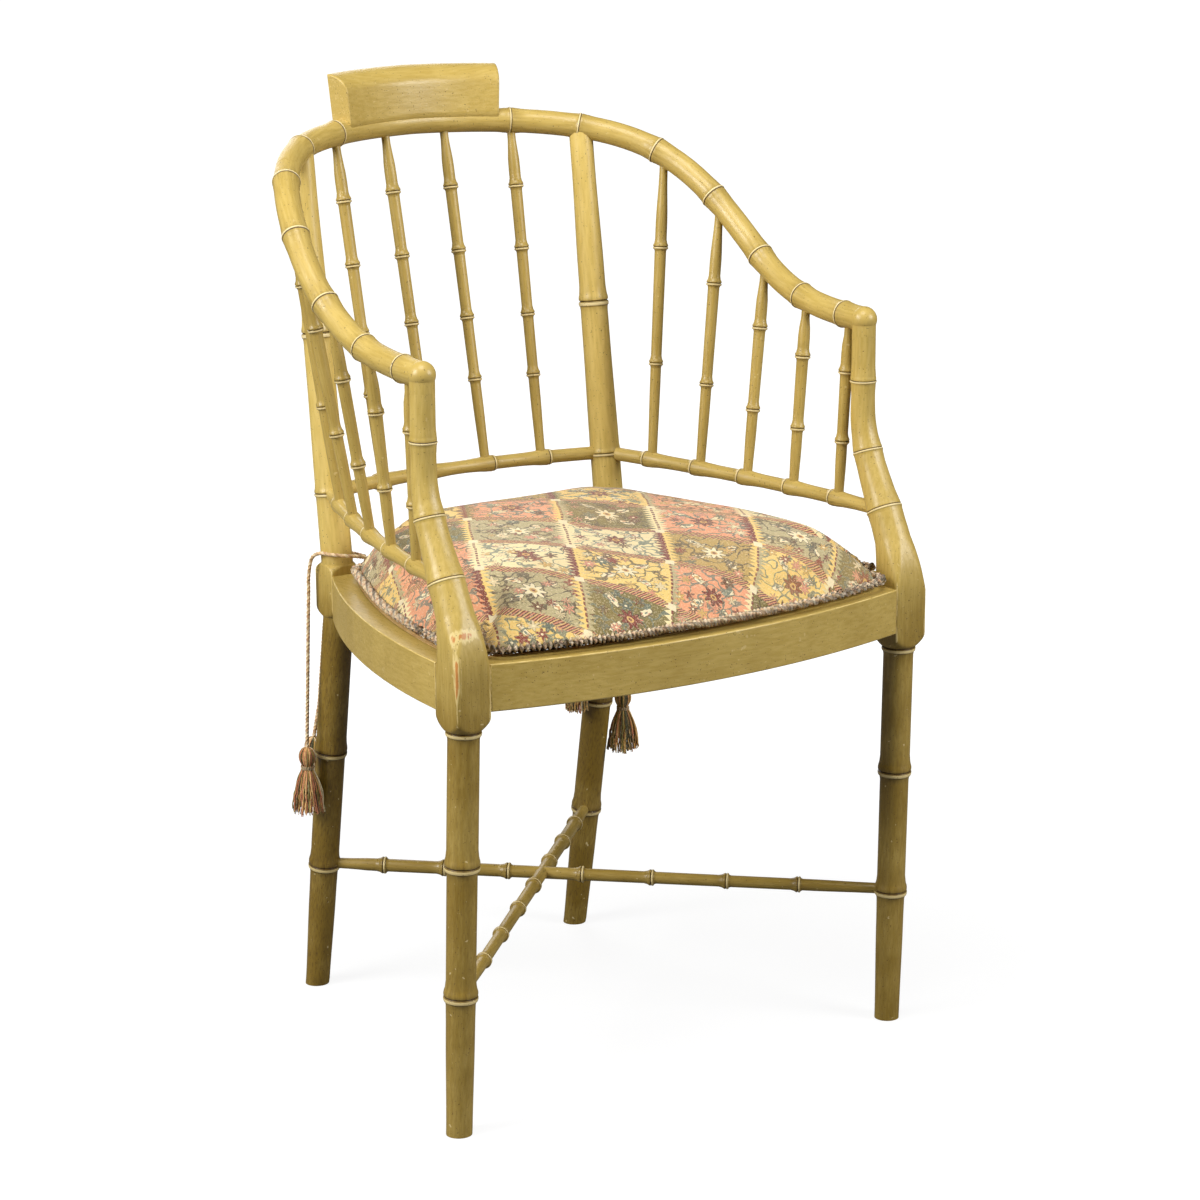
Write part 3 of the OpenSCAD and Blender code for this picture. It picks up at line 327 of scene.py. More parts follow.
def tassel_tree():
    tree, given, made = new_group(
        "tassel_threads", "GeometryNodeTree",
        [("Thread Line", "Geometry"), ("Threads", "Int", 170), ("Thickness", "Float", 0.0011),
         ("Waver", "Float", 0.0016), ("Seed", "Int", 1), ("Thread", "Material")],
        [("Tassel", "Geometry")],
    )
    get = given.outputs
    curve = add(tree, "GeometryNodeMeshToCurve", {"Mesh": get["Thread Line"]})
    half = math_node(tree, "MULTIPLY", get["Thickness"], 0.5)
    round_ = add(tree, "GeometryNodeCurvePrimitiveCircle", {"Resolution": 4, "Radius": half})
    strand = add(tree, "GeometryNodeCurveToMesh",
                 {"Curve": curve.outputs[0], "Profile Curve": round_.outputs[0]})
    spots = add(tree, "GeometryNodeMeshLine", {"Count": get["Threads"], "Offset": (0, 0, 0)})
    index = add(tree, "GeometryNodeInputIndex")
    turn = add(tree, "ShaderNodeCombineXYZ",
               {"Z": math_node(tree, "MULTIPLY", index.outputs[0], GOLDEN_ANGLE)})
    pull = math_node(tree, "POWER", random_share(tree, get["Seed"], 0.35), 0.45)
    length = random_share(tree, math_node(tree, "ADD", get["Seed"], 7.0), 0.93)
    size = add(tree, "ShaderNodeCombineXYZ", {"X": pull, "Y": 1.0, "Z": length})
    bundle = add(tree, "GeometryNodeInstanceOnPoints",
                 {"Points": spots.outputs[0], "Instance": strand.outputs[0],
                  "Rotation": turn.outputs[0], "Scale": size.outputs[0]})
    hue = random_share(tree, math_node(tree, "ADD", get["Seed"], 3.0))
    tinted = store(tree, bundle.outputs[0], "tint", hue, domain="INSTANCE")
    real = add(tree, "GeometryNodeRealizeInstances", {"Geometry": tinted})
    place = add(tree, "GeometryNodeInputPosition")
    step = add(tree, "ShaderNodeCombineXYZ",
               {"X": math_node(tree, "MULTIPLY", stored(tree, "tint"), 0.05)})
    moved = add(tree, "ShaderNodeVectorMath", {0: place.outputs[0], 1: step.outputs[0]},
                operation="ADD")
    field = add(tree, "ShaderNodeTexNoise",
                {"Vector": moved.outputs[0], "Scale": 90.0, "Detail": 1.0})
    centred = add(tree, "ShaderNodeVectorMath",
                  {0: field.outputs["Color"], 1: (0.5, 0.5, 0.5)}, operation="SUBTRACT")
    height = add(tree, "ShaderNodeSeparateXYZ", {"Vector": place.outputs[0]})
    low = add(tree, "ShaderNodeMapRange", {"Value": height.outputs["Z"], "From Min": -0.02,
                                           "From Max": -0.045, "To Min": 0.0, "To Max": 4.0})
    drift = math_node(tree, "MULTIPLY", low.outputs[0], get["Waver"])
    shift = add(tree, "ShaderNodeVectorMath", {0: centred.outputs[0], "Scale": drift},
                operation="SCALE")
    loose = add(tree, "GeometryNodeSetPosition",
                {"Geometry": real.outputs[0], "Offset": shift.outputs[0]})
    return end_tree(tree, made, loose.outputs[0], get["Thread"])


tassel_threads = tassel_tree()
print("tassel tree has", len(tassel_threads.nodes), "nodes")

# %% [markdown]
# The thread's line is written once, in millimetres from the fold down to the hem: round head, tied
# neck and flare. The two inner tassels have less room, so their skirts are narrower. The binding is
# the same laid cord, only thinner, wound round the neck.

# %% Hang a tassel on each cord
THREAD_LINE = [(1.2, 0), (4.8, 1.4), (7.2, 4.6), (8, 9), (7.3, 13.4), (5.4, 17), (4.6, 19),
               (5.6, 22), (8, 27), (10.6, 34), (12.9, 43), (14.5, 53), (15.6, 63)]
AIMS = {"left_outer": ((0, 0, -1), 1), "left_inner": ((0, 6.5, -32), 0.72),
        "right_outer": ((0, 0, -1), 1), "right_inner": ((0, 0, -1), 0.72)}
BINDING_R, BINDING_TOP, BINDING_TURNS, BINDING_PITCH = 0.0058, 0.0178, 4.5, 0.0008
BINDING_THICKNESS, BINDING_LAY, BINDING_STEPS = 0.0017, 260.0, 16
fringe = bpy.data.materials.new("tassel_thread")
tassels = {}
for seed, (name, (aim, spread)) in enumerate(AIMS.items()):
    fold = [Vector((r * (spread if z > 22 else 1), 0, -z)) / 1000 for r, z in THREAD_LINE]
    skirt = grow(line("fringe_" + name, eased_path(fold, 2)), tassel_threads,
                 thread=fringe, seed=seed * 11 + 1)
    wind = [
        Vector((BINDING_R * math.cos(u), BINDING_R * math.sin(u),
                -BINDING_TOP - BINDING_PITCH * u / (2 * math.pi)))
        for u in (2 * math.pi * j / BINDING_STEPS for j in range(int(BINDING_TURNS * BINDING_STEPS)))
    ]
    wrap = grow(line("binding_" + name, wind), laid_cord, thread=thread,
                thickness=BINDING_THICKNESS, turns_per_metre=BINDING_LAY)
    turned = Vector((0, 0, -1)).rotation_difference(Vector(aim)).to_matrix().to_4x4()
    place = Matrix.Translation(ROUTES[name][-1]) @ turned
    for part in (skirt, wrap):
        part.data.transform(place)
    tassels[name] = [skirt, wrap]
print("a tassel has", len(skirt.data.polygons), "faces")

# %% [markdown]
# A cord that hangs free, with its binding and its fringe, rides on the chair's root body, and the
# measured tie and tassel are hidden. Its length along the route is printed.

for name, cord in cords.items():
    path = eased_path(ROUTES[name], 2)
    run = sum((b - a).length for a, b in zip(path, path[1:]))
    for part in [cord, *tassels[name]]:
        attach(part, "root")
    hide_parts("tie_" + name)
    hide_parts("tassel_" + name)
    tuple(ROUTES[name][0])
    [tuple(p) for p in path]
    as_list(tassels[name])
    print(name, "cord is", round(run, 3), "m long")

# %% [markdown]
# ## Centre lines of the frame
# The hoop is half an ellipse in plan that falls from the crest to the arms in one soft curve, then
# runs straight to the elbows. Legs, posts and stay rails have short rules too. Keeping them as
# functions of one number means that rings, spindles and paint all agree on where they are.

# %% Where the hoop and the front posts run
LEG_X, REAR_X, DEPTH = 236, 154.5, 344
CREST_Y, HOOP_W, HOOP_D = 448, 236.5, 236
CREST_H, ARM_H = 823, 660
HOOP_DEG = 180 / (math.pi * HOOP_W)
BLOCK_TOP, POST_TOP = 420, 646
POST_LEAN, LEAN_RUN = 56, 158
FALL_AT, FALL_SPREAD, FALL_TIGHTENS = 77.7, 16, 6.6


def ease(u):
    """A soft step from 0 to 1."""
    u = min(max(u, 0), 1)
    return u * u * (3 - 2 * u)


def bell(value, middle, width):
    """1 in the middle, falling to nothing on both sides."""
    return math.exp(-((value - middle) / width) ** 2)


def arm_post_at(z):
    return Vector((LEG_X, POST_LEAN * ease((z - BLOCK_TOP) / LEAN_RUN), z))


ELBOW_Y = arm_post_at(POST_TOP).y
HOOP_END = 90 + (CREST_Y - HOOP_D - ELBOW_Y) * HOOP_DEG


def hoop_at(angle):
    """A place on the hoop, by its angle from the crest. Past 90 degrees the arm runs straight."""
    a = abs(angle)
    over = max(a - 90, 0)
    x = HOOP_W * math.sin(math.radians(a)) if a < 90 else (
        HOOP_W + (LEG_X - HOOP_W) * over / (HOOP_END - 90))
    y = CREST_Y - HOOP_D * (1 - math.cos(math.radians(min(a, 90)))) - over / HOOP_DEG
    fall = 1 / (1 + math.exp((FALL_AT - a) / (FALL_SPREAD - FALL_TIGHTENS * a / HOOP_END)))
    return Vector((math.copysign(x, angle), y, CREST_H - (CREST_H - ARM_H) * fall))


print("the hoop ends", round(HOOP_END, 1), "degrees from the crest, at", hoop_at(HOOP_END))

# %% [markdown]
# The rings on the hoop mark where posts and spindles enter it. The spindles fan out a little, so
# their rings stand wider apart on the hoop than on the back stay rail. Both stay rails are bowed.

# %% Where the rings, rear posts and stay rails are
FAN = 1.09
SPINDLE_X = (-89.5, -30, 30, 89.5)
FIRST_ARM_RING, LAST_RING_GAP = 59.5, 28
REAR_BLOCK_TOP = 434
STAY_H, STAY_FRONT_H = 499, 489
STAY_BOW, BACK_STAY_BOW = 13, 23


def across_ring(x):
    """The hoop's angle at which it is this far from the chair's middle."""
    return math.degrees(math.asin(x / HOOP_W))


POST_RING = across_ring(REAR_X)
CREST_RING = across_ring(SPINDLE_X[-1] * FAN)
LAST_RING = HOOP_END - LAST_RING_GAP * HOOP_DEG
ARM_RINGS = [FIRST_ARM_RING + (LAST_RING - FIRST_ARM_RING) * i / 4 for i in range(5)]
post_foot, post_head = Vector((REAR_X, DEPTH, REAR_BLOCK_TOP)), hoop_at(POST_RING)


def post_at(z):
    return post_foot.lerp(post_head, (z - post_foot.z) / (post_head.z - post_foot.z))


stay_p, stay_q = post_at(STAY_H), arm_post_at(STAY_FRONT_H)
stay_out = Vector((stay_p.y - stay_q.y, stay_q.x - stay_p.x, 0)).normalized()
STAY_LEN = (stay_q - stay_p).length


def stay_at(t):
    return stay_p.lerp(stay_q, t) + stay_out * STAY_BOW * 4 * t * (1 - t)


def stay_ring(number):
    """The share of a side stay rail at which one of its five rings stands."""
    return (number - 0.16) / 6


def back_stay_at(x):
    return Vector((x, stay_p.y + BACK_STAY_BOW * (1 - x * x / REAR_X ** 2), STAY_H))


print("arm rings stand at", [round(ring, 1) for ring in ARM_RINGS], "degrees")

# %% [markdown]
# ## One tree for every bamboo piece
# On the real chair a turner cut each false joint: a cream bead, a thin groove, then a bulge that
# fades into the shaft. The line already carries the swelling; the tree sweeps a circle along it,
# raises the bead and cuts the groove. It also stores where bead and groove are, so that the paint
# can follow them, and which way the grain runs.

# %% A tree that turns bamboo
GATHER_MM = 7.0
GRAIN_ROUND, GRAIN_STRETCH = 0.012, 0.12


def bamboo_tree():
    tree, given, made = new_group(
        "turned_bamboo", "GeometryNodeTree",
        [("Line", "Geometry"), ("Sides", "Int", 32), ("Bead Height", "Float", 0.0003),
         ("Bead Place", "Float", -2.85), ("Bead Width", "Float", 1.7),
         ("Groove Depth", "Float", 0.0010), ("Groove Width", "Float", 0.65), ("Paint", "Material")],
        [("Bamboo", "Geometry")],
    )
    get = given.outputs

    def bump(place, width):
        offset = math_node(tree, "SUBTRACT", stored(tree, "joint"), place)
        away = math_node(tree, "DIVIDE", offset, width)
        power = math_node(tree, "POWER", math_node(tree, "ABSOLUTE", away), 4.0)
        return math_node(tree, "EXPONENT", math_node(tree, "MULTIPLY", power, -1.0))

    bead = bump(get["Bead Place"], get["Bead Width"])
    groove = bump(0.0, get["Groove Width"])
    raised = math_node(tree, "MULTIPLY_ADD", bead, get["Bead Height"], stored(tree, "thick"))
    sunk = math_node(tree, "MULTIPLY", groove, get["Groove Depth"])
    radius = math_node(tree, "SUBTRACT", raised, sunk)
    away = math_node(tree, "ABSOLUTE", stored(tree, "joint"))
    gather = math_node(tree, "EXPONENT", math_node(tree, "DIVIDE", away, -GATHER_MM))
    run = add(tree, "GeometryNodeSplineParameter").outputs["Length"]
    curve = add(tree, "GeometryNodeMeshToCurve", {"Mesh": get["Line"]}).outputs[0]
    for label, value in (("bead", bead), ("groove", groove), ("gather", gather), ("along", run)):
        curve = store(tree, curve, label, value)
    ring = add(tree, "GeometryNodeCurvePrimitiveCircle", {"Resolution": get["Sides"], "Radius": 1.0})
    place = add(tree, "GeometryNodeInputPosition").outputs[0]
    marked = store(tree, ring.outputs[0], "round", place, "FLOAT_VECTOR")
    swept = add(tree, "GeometryNodeCurveToMesh",
                {"Curve": curve, "Profile Curve": marked, "Scale": radius, "Fill Caps": True})
    wide = add(tree, "ShaderNodeVectorMath",
               {0: stored(tree, "round", "FLOAT_VECTOR"), "Scale": GRAIN_ROUND}, operation="SCALE")
    far = add(tree, "ShaderNodeCombineXYZ",
              {"Z": math_node(tree, "MULTIPLY", stored(tree, "along"), GRAIN_STRETCH)})
    grain = add(tree, "ShaderNodeVectorMath", {0: wide.outputs[0], 1: far.outputs[0]},
                operation="ADD").outputs[0]
    grained = store(tree, swept.outputs[0], "grain", grain, "FLOAT_VECTOR")
    return end_tree(tree, made, grained, get["Paint"])


turned_bamboo = bamboo_tree()
print("bamboo tree has", len(turned_bamboo.nodes), "nodes")

# %% [markdown]
# ## Glazed paint
# The painter laid a straw ground, dragged a thin olive-brown glaze over it with a dry brush, wiped
# it off the high places and left it in the grooves. Decades of handling did the rest. One shader
# group does the same work in the same order, and puts out colour, roughness and height. Brush marks
# follow the `grain` that every piece carries, so that they run along the cane.

# %% Small tools for shaders
def tone(red, green, blue):
    """A colour as the eye reads it, 0 to 255, turned into light."""
    return tuple(((c / 255 + 0.055) / 1.055) ** 2.4 for c in (red, green, blue)) + (1.0,)


def cloud(tree, vector, scale, detail=2.0):
    """Soft random shading. A larger scale gives smaller patches."""
    return add(tree, "ShaderNodeTexNoise",
               {"Vector": vector, "Scale": scale, "Detail": detail}).outputs["Fac"]


def spread(tree, value, low, high, to_low=0.0, to_high=1.0):
    """Stretches a value softly, so that low becomes to_low and high becomes to_high."""
    return add(tree, "ShaderNodeMapRange",
               {"Value": value, "From Min": low, "From Max": high, "To Min": to_low,
                "To Max": to_high}, interpolation_type="SMOOTHSTEP").outputs["Result"]


def mixed(tree, under, over, amount):
    """Lays one colour over another. The sockets 0, 6, 7 and 2 are the node's colour ones."""
    return add(tree, "ShaderNodeMix", {0: amount, 6: under, 7: over}, data_type="RGBA",
               blend_type="MIX").outputs[2]


def carried(tree, name, socket="Fac"):
    """Reads a number that the piece carries on its points."""
    return add(tree, "ShaderNodeAttribute", attribute_name=name).outputs[socket]


def object_place(tree):
    return add(tree, "ShaderNodeTexCoord").outputs["Object"]


print("the straw ground as light:", [round(part, 3) for part in tone(232, 204, 122)])

# %% [markdown]
# The glaze is laid in the painter's own order. First comes the straw ground with its brush marks,
# then the olive glaze, which grows heavier towards the floor: partly glaze, and partly painted shade
# where less light reaches low down. Dark glaze gathers beside the joints and in the grooves, the
# beads are picked out in cream, and wear goes over everything.

# %% The glaze, layer by layer
def glaze_group():
    tree, given, made = new_group(
        "painters_glaze", "ShaderNodeTree",
        [("Straw", "Color", tone(232, 204, 122)), ("Ochre", "Color", tone(206, 175, 86)),
         ("Olive", "Color", tone(142, 114, 40)), ("Umber", "Color", tone(60, 34, 10)),
         ("Cream", "Color", tone(246, 226, 170)), ("Bare Wood", "Color", tone(206, 140, 74)),
         ("Age Above", "Float", 0.36), ("Age Below", "Float", 0.8), ("Dirt", "Float", 1.0)],
        [("Color", "Color"), ("Roughness", "Float"), ("Height", "Float")],
    )
    get = given.outputs

    def sum_of(a, b):
        return math_node(tree, "ADD", a, b)

    def part(a, b, clamp=False):
        return math_node(tree, "MULTIPLY", a, b, clamp=clamp)

    # marks of the brush, patches, and a darkening towards the floor, partly age and partly painted
    # shade
    grain, place = carried(tree, "grain", "Vector"), object_place(tree)
    brush, fine = cloud(tree, grain, 420.0, 5.0), cloud(tree, grain, 1500.0, 2.0)
    patch, fleck = cloud(tree, place, 17.0, 3.0), cloud(tree, place, 620.0, 1.0)
    up = add(tree, "ShaderNodeSeparateXYZ", {"Vector": place}).outputs["Z"]
    # darker towards the floor: painted shade, as less light reaches low down, added to the glaze's age
    low = spread(tree, up, 0.36, 0.47, 1.0, 0.0)
    more = math_node(tree, "SUBTRACT", get["Age Below"], get["Age Above"])
    age_and_low_shade = math_node(tree, "MULTIPLY_ADD", low, more, get["Age Above"])

    # the brushed ground, and the olive glaze over it, heavier low down where it also paints shade
    color = mixed(tree, get["Straw"], get["Ochre"], spread(tree, brush, 0.3, 0.72, 0.2, 0.7))
    uneven = spread(tree, patch, 0.3, 0.7, 0.82, 1.15)
    uneven = sum_of(uneven, spread(tree, brush, 0.3, 0.7, -0.06, 0.07))
    color = mixed(tree, color, get["Olive"], part(age_and_low_shade, uneven, True))

    # dark glaze that is held beside the joints and dragged over the old places; the dragged glaze
    # grows towards the floor, where it is also painted shade
    gather = carried(tree, "gather")
    held = part(gather, spread(tree, brush, 0.3, 0.65, 0.08, 0.3))
    dragged = part(part(age_and_low_shade, age_and_low_shade), spread(tree, fine, 0.42, 0.75, 0.05, 0.4))
    color = mixed(tree, color, get["Umber"], part(sum_of(held, dragged), get["Dirt"], True))

    # cream beads with a dark lip, and dark grooves
    bead = carried(tree, "bead")
    lip = part(part(bead, math_node(tree, "SUBTRACT", 1.0, bead)), 1.8)
    color = mixed(tree, color, get["Umber"], part(lip, get["Dirt"], True))
    bright = mixed(tree, get["Cream"], get["Ochre"], part(age_and_low_shade, 0.35, True))
    color = mixed(tree, color, bright, spread(tree, bead, 0.4, 0.8, 0.0, 0.85))
    groove = carried(tree, "groove")
    color = mixed(tree, color, get["Umber"], spread(tree, groove, 0.2, 0.9, 0.0, 0.85))

    # worn edges, bare wood, pale chips and dark specks
    edge = sum_of(carried(tree, "arris"), spread(tree, brush, 0.3, 0.7, -0.45, 0.3))
    worn = spread(tree, edge, 0.45, 0.95)
    color = mixed(tree, color, mixed(tree, get["Cream"], get["Straw"], fine), part(worn, 0.75))
    color = mixed(tree, color, get["Bare Wood"], spread(tree, edge, 1.35, 1.7))
    chips = spread(tree, cloud(tree, place, 190.0, 3.0), 0.70, 0.73)
    color = mixed(tree, color, get["Cream"], part(chips, part(age_and_low_shade, 0.6)))
    speck = spread(tree, fleck, 0.69, 0.76)
    color = mixed(tree, color, get["Umber"], part(speck, 0.7))

    rough = sum_of(spread(tree, fine, 0.3, 0.7, 0.3, 0.46), part(sum_of(groove, speck), 0.2))
    bumps = sum_of(part(brush, 0.6), sum_of(part(fine, 0.5), part(speck, -0.5)))
    for number, value in enumerate((color, rough, bumps)):
        tree.links.new(value, made.inputs[number])
    return tree


painters_glaze = glaze_group()
print("glaze group has", len(painters_glaze.nodes), "nodes")

# %% [markdown]
# The same glaze dresses every painted piece. What differs is how much glaze each mix takes above and
# below. The back posts are clean above and dark below: partly glaze and dirt, and partly painted
# shade where the seat shades the rear legs. The stretchers near the floor take a heavy, even glaze.
# A thin clear coat gives the faint shine of old varnish.

# %% Five mixes of the same paint
VARNISH, VARNISH_ROUGH = 0.15, 0.2
BRUSH_RELIEF = 0.00022


def surface(name, coat=0.0, **sockets):
    """The material of this name, with one Principled shader. sockets are its own constants."""
    made = bpy.data.materials.get(name) or bpy.data.materials.new(name)
    made.use_nodes = True
    shader = made.node_tree.nodes["Principled BSDF"]
    shader.inputs["Coat Weight"].default_value = coat
    shader.inputs["Coat Roughness"].default_value = VARNISH_ROUGH
    for label, value in sockets.items():
        shader.inputs[label.replace("_", " ")].default_value = value
    return made, made.node_tree, shader


def dressed(made, group, depth, **values):
    """Feeds a shader from a group's colour and height, and its roughness if it has one."""
    material, tree, shader = made
    links = {label.replace("_", " "): value for label, value in values.items()}
    look = add(tree, "ShaderNodeGroup", links, node_tree=group)
    tree.links.new(look.outputs["Color"], shader.inputs["Base Color"])
    if "Roughness" in look.outputs:
        tree.links.new(look.outputs["Roughness"], shader.inputs["Roughness"])
    relief = add(tree, "ShaderNodeBump", {"Height": look.outputs["Height"], "Distance": depth})
    tree.links.new(relief.outputs["Normal"], shader.inputs["Normal"])
    return material


def painted(name, **values):
    made = surface(name, VARNISH, Specular_IOR_Level=0.4)
    return dressed(made, painters_glaze, BRUSH_RELIEF, **values)


paint = painted("glazed_paint")
# the rear mix is clean above and dark below: partly glaze and dirt, partly painted shade under the
# seat
rear_paint = painted("glazed_paint_rear", Age_Above=0.05, Age_Below=1.0, Dirt=1.3)
rail_paint = painted("glazed_paint_rails", Age_Above=0.45, Age_Below=0.45)
spindle_paint = painted("glazed_paint_spindles", Age_Above=0.5, Age_Below=0.5)
stretcher_paint = painted("glazed_paint_stretchers", Age_Above=0.7, Age_Below=0.7)
print("paint mixes:", [mix.name for mix in bpy.data.materials if mix.name.startswith("glazed")])

# %% [markdown]
# ## Bare wood and cane
# Under the paint the chair is beech: pale, with short dark flecks. It shows on the glue blocks
# inside the seat. The seat itself is woven cane, held in its groove by a split reed. Six sets of
# strands cross: pairs lengthwise and crosswise, and single ones on both diagonals, which leaves
# open holes. Beech and reed share one grain, so that grain is a group of its own: a noise that is
# squeezed along the fibres.

# %% Beech and reed
def grain_group():
    tree, given, made = new_group(
        "wood_grain", "ShaderNodeTree",
        [("Pale", "Color", tone(214, 178, 130)), ("Dark", "Color", tone(160, 112, 70)),
         ("Squeeze", "Vector", (0.1, 1, 1)), ("Scale", "Float", 260.0)],
        [("Color", "Color"), ("Height", "Float")],
    )
    get = given.outputs
    squeezed = add(tree, "ShaderNodeVectorMath", {0: object_place(tree), 1: get["Squeeze"]},
                   operation="MULTIPLY").outputs[0]
    grain = cloud(tree, squeezed, get["Scale"], 4.0)
    fleck = cloud(tree, squeezed, math_node(tree, "MULTIPLY", get["Scale"], 5.0), 1.0)
    color = mixed(tree, get["Pale"], get["Dark"], spread(tree, grain, 0.35, 0.7, 0.0, 0.6))
    color = mixed(tree, color, get["Dark"], spread(tree, fleck, 0.6, 0.72, 0.0, 0.7))
    tree.links.new(color, made.inputs["Color"])
    tree.links.new(grain, made.inputs["Height"])
    return tree


wood_grain = grain_group()
beech = dressed(surface("bare_beech", Roughness=0.6), wood_grain, 0.0002)
reed = dressed(surface("split_reed", Roughness=0.6), wood_grain, 0.0002, Scale=340.0,
               Pale=tone(218, 184, 122), Dark=tone(170, 128, 74), Squeeze=(1, 1, 0.3))
print("wood grain group has", len(wood_grain.nodes), "nodes")

# %% [markdown]
# The cane is drawn instead of woven, because the cushion hides nearly all of it. Each set of
# strands is a row of stripes, and the gaps between them are really open: the shader's alpha is
# zero there.

# %% Woven cane
HOLE_PITCH, STRAND_HALF, PAIR_OFFSET = 0.0127, 0.0011, 0.0016
DIAGONAL = 0.7071
STRANDS = ((1, 0, HOLE_PITCH, PAIR_OFFSET), (0, 1, HOLE_PITCH, PAIR_OFFSET),
           (DIAGONAL, DIAGONAL, 0.00898, 0), (DIAGONAL, -DIAGONAL, 0.00898, 0))


def woven_cane():
    material, tree, shader = surface("woven_cane", Roughness=0.45)
    split = add(tree, "ShaderNodeSeparateXYZ", {"Vector": object_place(tree)}).outputs
    strands = []
    for across, up, pitch, pair in STRANDS:
        slant = math_node(tree, "MULTIPLY_ADD", split["X"], across,
                          math_node(tree, "MULTIPLY", split["Y"], up))
        off = math_node(tree, "PINGPONG", slant, pitch / 2)
        off = math_node(tree, "ABSOLUTE", math_node(tree, "SUBTRACT", off, pair))
        strands.append(math_node(tree, "LESS_THAN", off, STRAND_HALF))
    solid = strands[0]
    for strand in strands[1:]:
        solid = math_node(tree, "MAXIMUM", solid, strand)
    stain = cloud(tree, object_place(tree), 300.0, 3.0)
    color = mixed(tree, tone(224, 190, 128), tone(176, 130, 70), spread(tree, stain, 0.35, 0.7))
    color = mixed(tree, color, tone(200, 160, 96), math_node(tree, "MULTIPLY", strands[2], 0.5))
    tree.links.new(color, shader.inputs["Base Color"])
    tree.links.new(solid, shader.inputs["Alpha"])
    height = math_node(tree, "ADD", strands[0], math_node(tree, "MULTIPLY", strands[3], 0.5))
    relief = add(tree, "ShaderNodeBump", {"Height": height, "Distance": 0.0006})
    tree.links.new(relief.outputs["Normal"], shader.inputs["Normal"])
    return material


cane = woven_cane()
print("bare materials:", beech.name, reed.name, cane.name)

# %% [markdown]
# ## Joints along a line
# A joint is written as three numbers: where it stands, how big it is, and which way is up. Stations
# crowd together round each joint, where the bead and groove need them, and spread out between.
# The swelling is a table of offset against share of the rise, joined by soft steps.

# %% Stations and swelling
TURNED = [(-9, 0), (-5.4, 0.3), (-4.4, 0.85), (-2.8, 0.95), (2.6, 1), (4, 0.86), (6, 0.55),
          (9, 0.25), (14, 0)]
BENT = [(-13, 0), (-4.6, 0.42), (-1.8, 0.8), (1.8, 0.8), (4.6, 0.5), (13, 0)]
HORN = [(-5, 0.15), (-1.8, 0.6), (-0.5, 0.7), (1.6, 1), (6, 0.85), (18, 0.35), (30, 0.1)]
NEAR = [-14, -11, -9, -7.5, -6.2, -5.4, -4.9, -4.5, -4.1, -3.6, -3, -2.4, -1.9, -1.5, -1.2, -0.9,
        -0.7, -0.5, -0.25, 0, 0.25, 0.5, 0.7, 0.9, 1.2, 1.6, 2.1, 2.8, 3.6, 4.6, 6, 8, 10.5, 14]
NO_JOINT = 99


def swelling(table, offset):
    """The table's value at this offset. It stays level past both ends."""
    if offset <= table[0][0] or offset >= table[-1][0]:
        return table[0][1] if offset <= table[0][0] else table[-1][1]
    for (a, low), (b, high) in zip(table, table[1:]):
        if offset <= b:
            return low + (high - low) * ease((offset - a) / (b - a))


def stations(start, end, joints, spacing=9):
    """Places along a line in millimetres, crowded round each joint (place, size, way)."""
    places = {start, end}
    for place, size, way in joints:
        places |= {place + n * size * way for n in NEAR}
    steps = max(2, round((end - start) / spacing))
    for j in range(steps + 1):
        at = start + (end - start) * j / steps
        if all(abs(at - place) > 15 * size for place, size, way in joints):
            places.add(at)
    return sorted(p for p in places if start <= p <= end)


def bamboo(name, at, span, joints, shaft, rise, table=TURNED, per_mm=1.0, coat=None, **cut):
    """Turns one piece: at(s) is its centre line, shaft(s) its radius, rise each joint's height."""
    points, thick, joint = [], [], []
    for s in stations(span[0] / per_mm, span[1] / per_mm, joints):
        near = min(joints, key=lambda j: abs(s - j[0])) if joints else None
        swell, offset = 0, NO_JOINT
        if near:
            offset = (s - near[0]) / near[1] * near[2]
            swell = swelling(table, offset) * (rise(near[0]) if callable(rise) else rise)
        points.append(spot(*at(s * per_mm)))
        thick.append((shaft(s * per_mm) + swell) / 1000)
        joint.append(offset)
    bare = line(name, points, thick=thick, joint=joint)
    return grow(bare, turned_bamboo, paint=coat or paint, **cut)


print("a joint is cut with", len(NEAR), "stations")

# %% [markdown]
# A chair leg is often several shapes in one piece of wood, so finished meshes can be welded into
# one. Each finished piece then rides on the chair's root body, and the measured part it stands for
# is hidden.

# %% Weld and attach a piece
def finished(piece, node):
    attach(piece, "root")
    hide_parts(node)
    return piece


def welded(name, parts, coat=None):
    """Joins finished meshes into one piece."""
    whole = bmesh.new()
    for part in parts:
        whole.from_mesh(part.data)
        bpy.data.objects.remove(part)
    mesh = bpy.data.meshes.new(name)
    whole.to_mesh(mesh)
    whole.free()
    mesh.materials.append(coat or paint)
    return link(bpy.data.objects.new(name, mesh))


print("pieces can be welded and attached")

# %% [markdown]
# ## Spindles and stretchers
# The straight sticks are the same rule with different numbers. Back spindles have four joints,
# side spindles two, and each stretcher seven. A spindle thins where it enters the hoop.

# %% Turn the spindles
STICK_CUT = dict(sides=20, groove_depth=0.0007, bead_height=0.0002)
BACK_SPINDLE_RINGS = (0.25, 0.43, 0.625, 0.81)
SIDE_SPINDLE_RINGS = (0.32, 0.7)
TWIG_GAP = 7  # from a spindle to its ring


def mirrored(point, side):
    return Vector((point.x * side, point.y, point.z))


def stick(name, foot, head, inset, shares, thin, rise, coat):
    """A straight turned stick, with rings at these shares of its length."""
    length = (head - foot).length
    run = (head - foot) / length
    joints = [(length * share, 0.5, 1) for share in shares]
    return bamboo(name, lambda s: foot + run * s, (inset, length - inset), joints,
                  lambda s: swelling(thin, s), rise, coat=coat, **STICK_CUT)


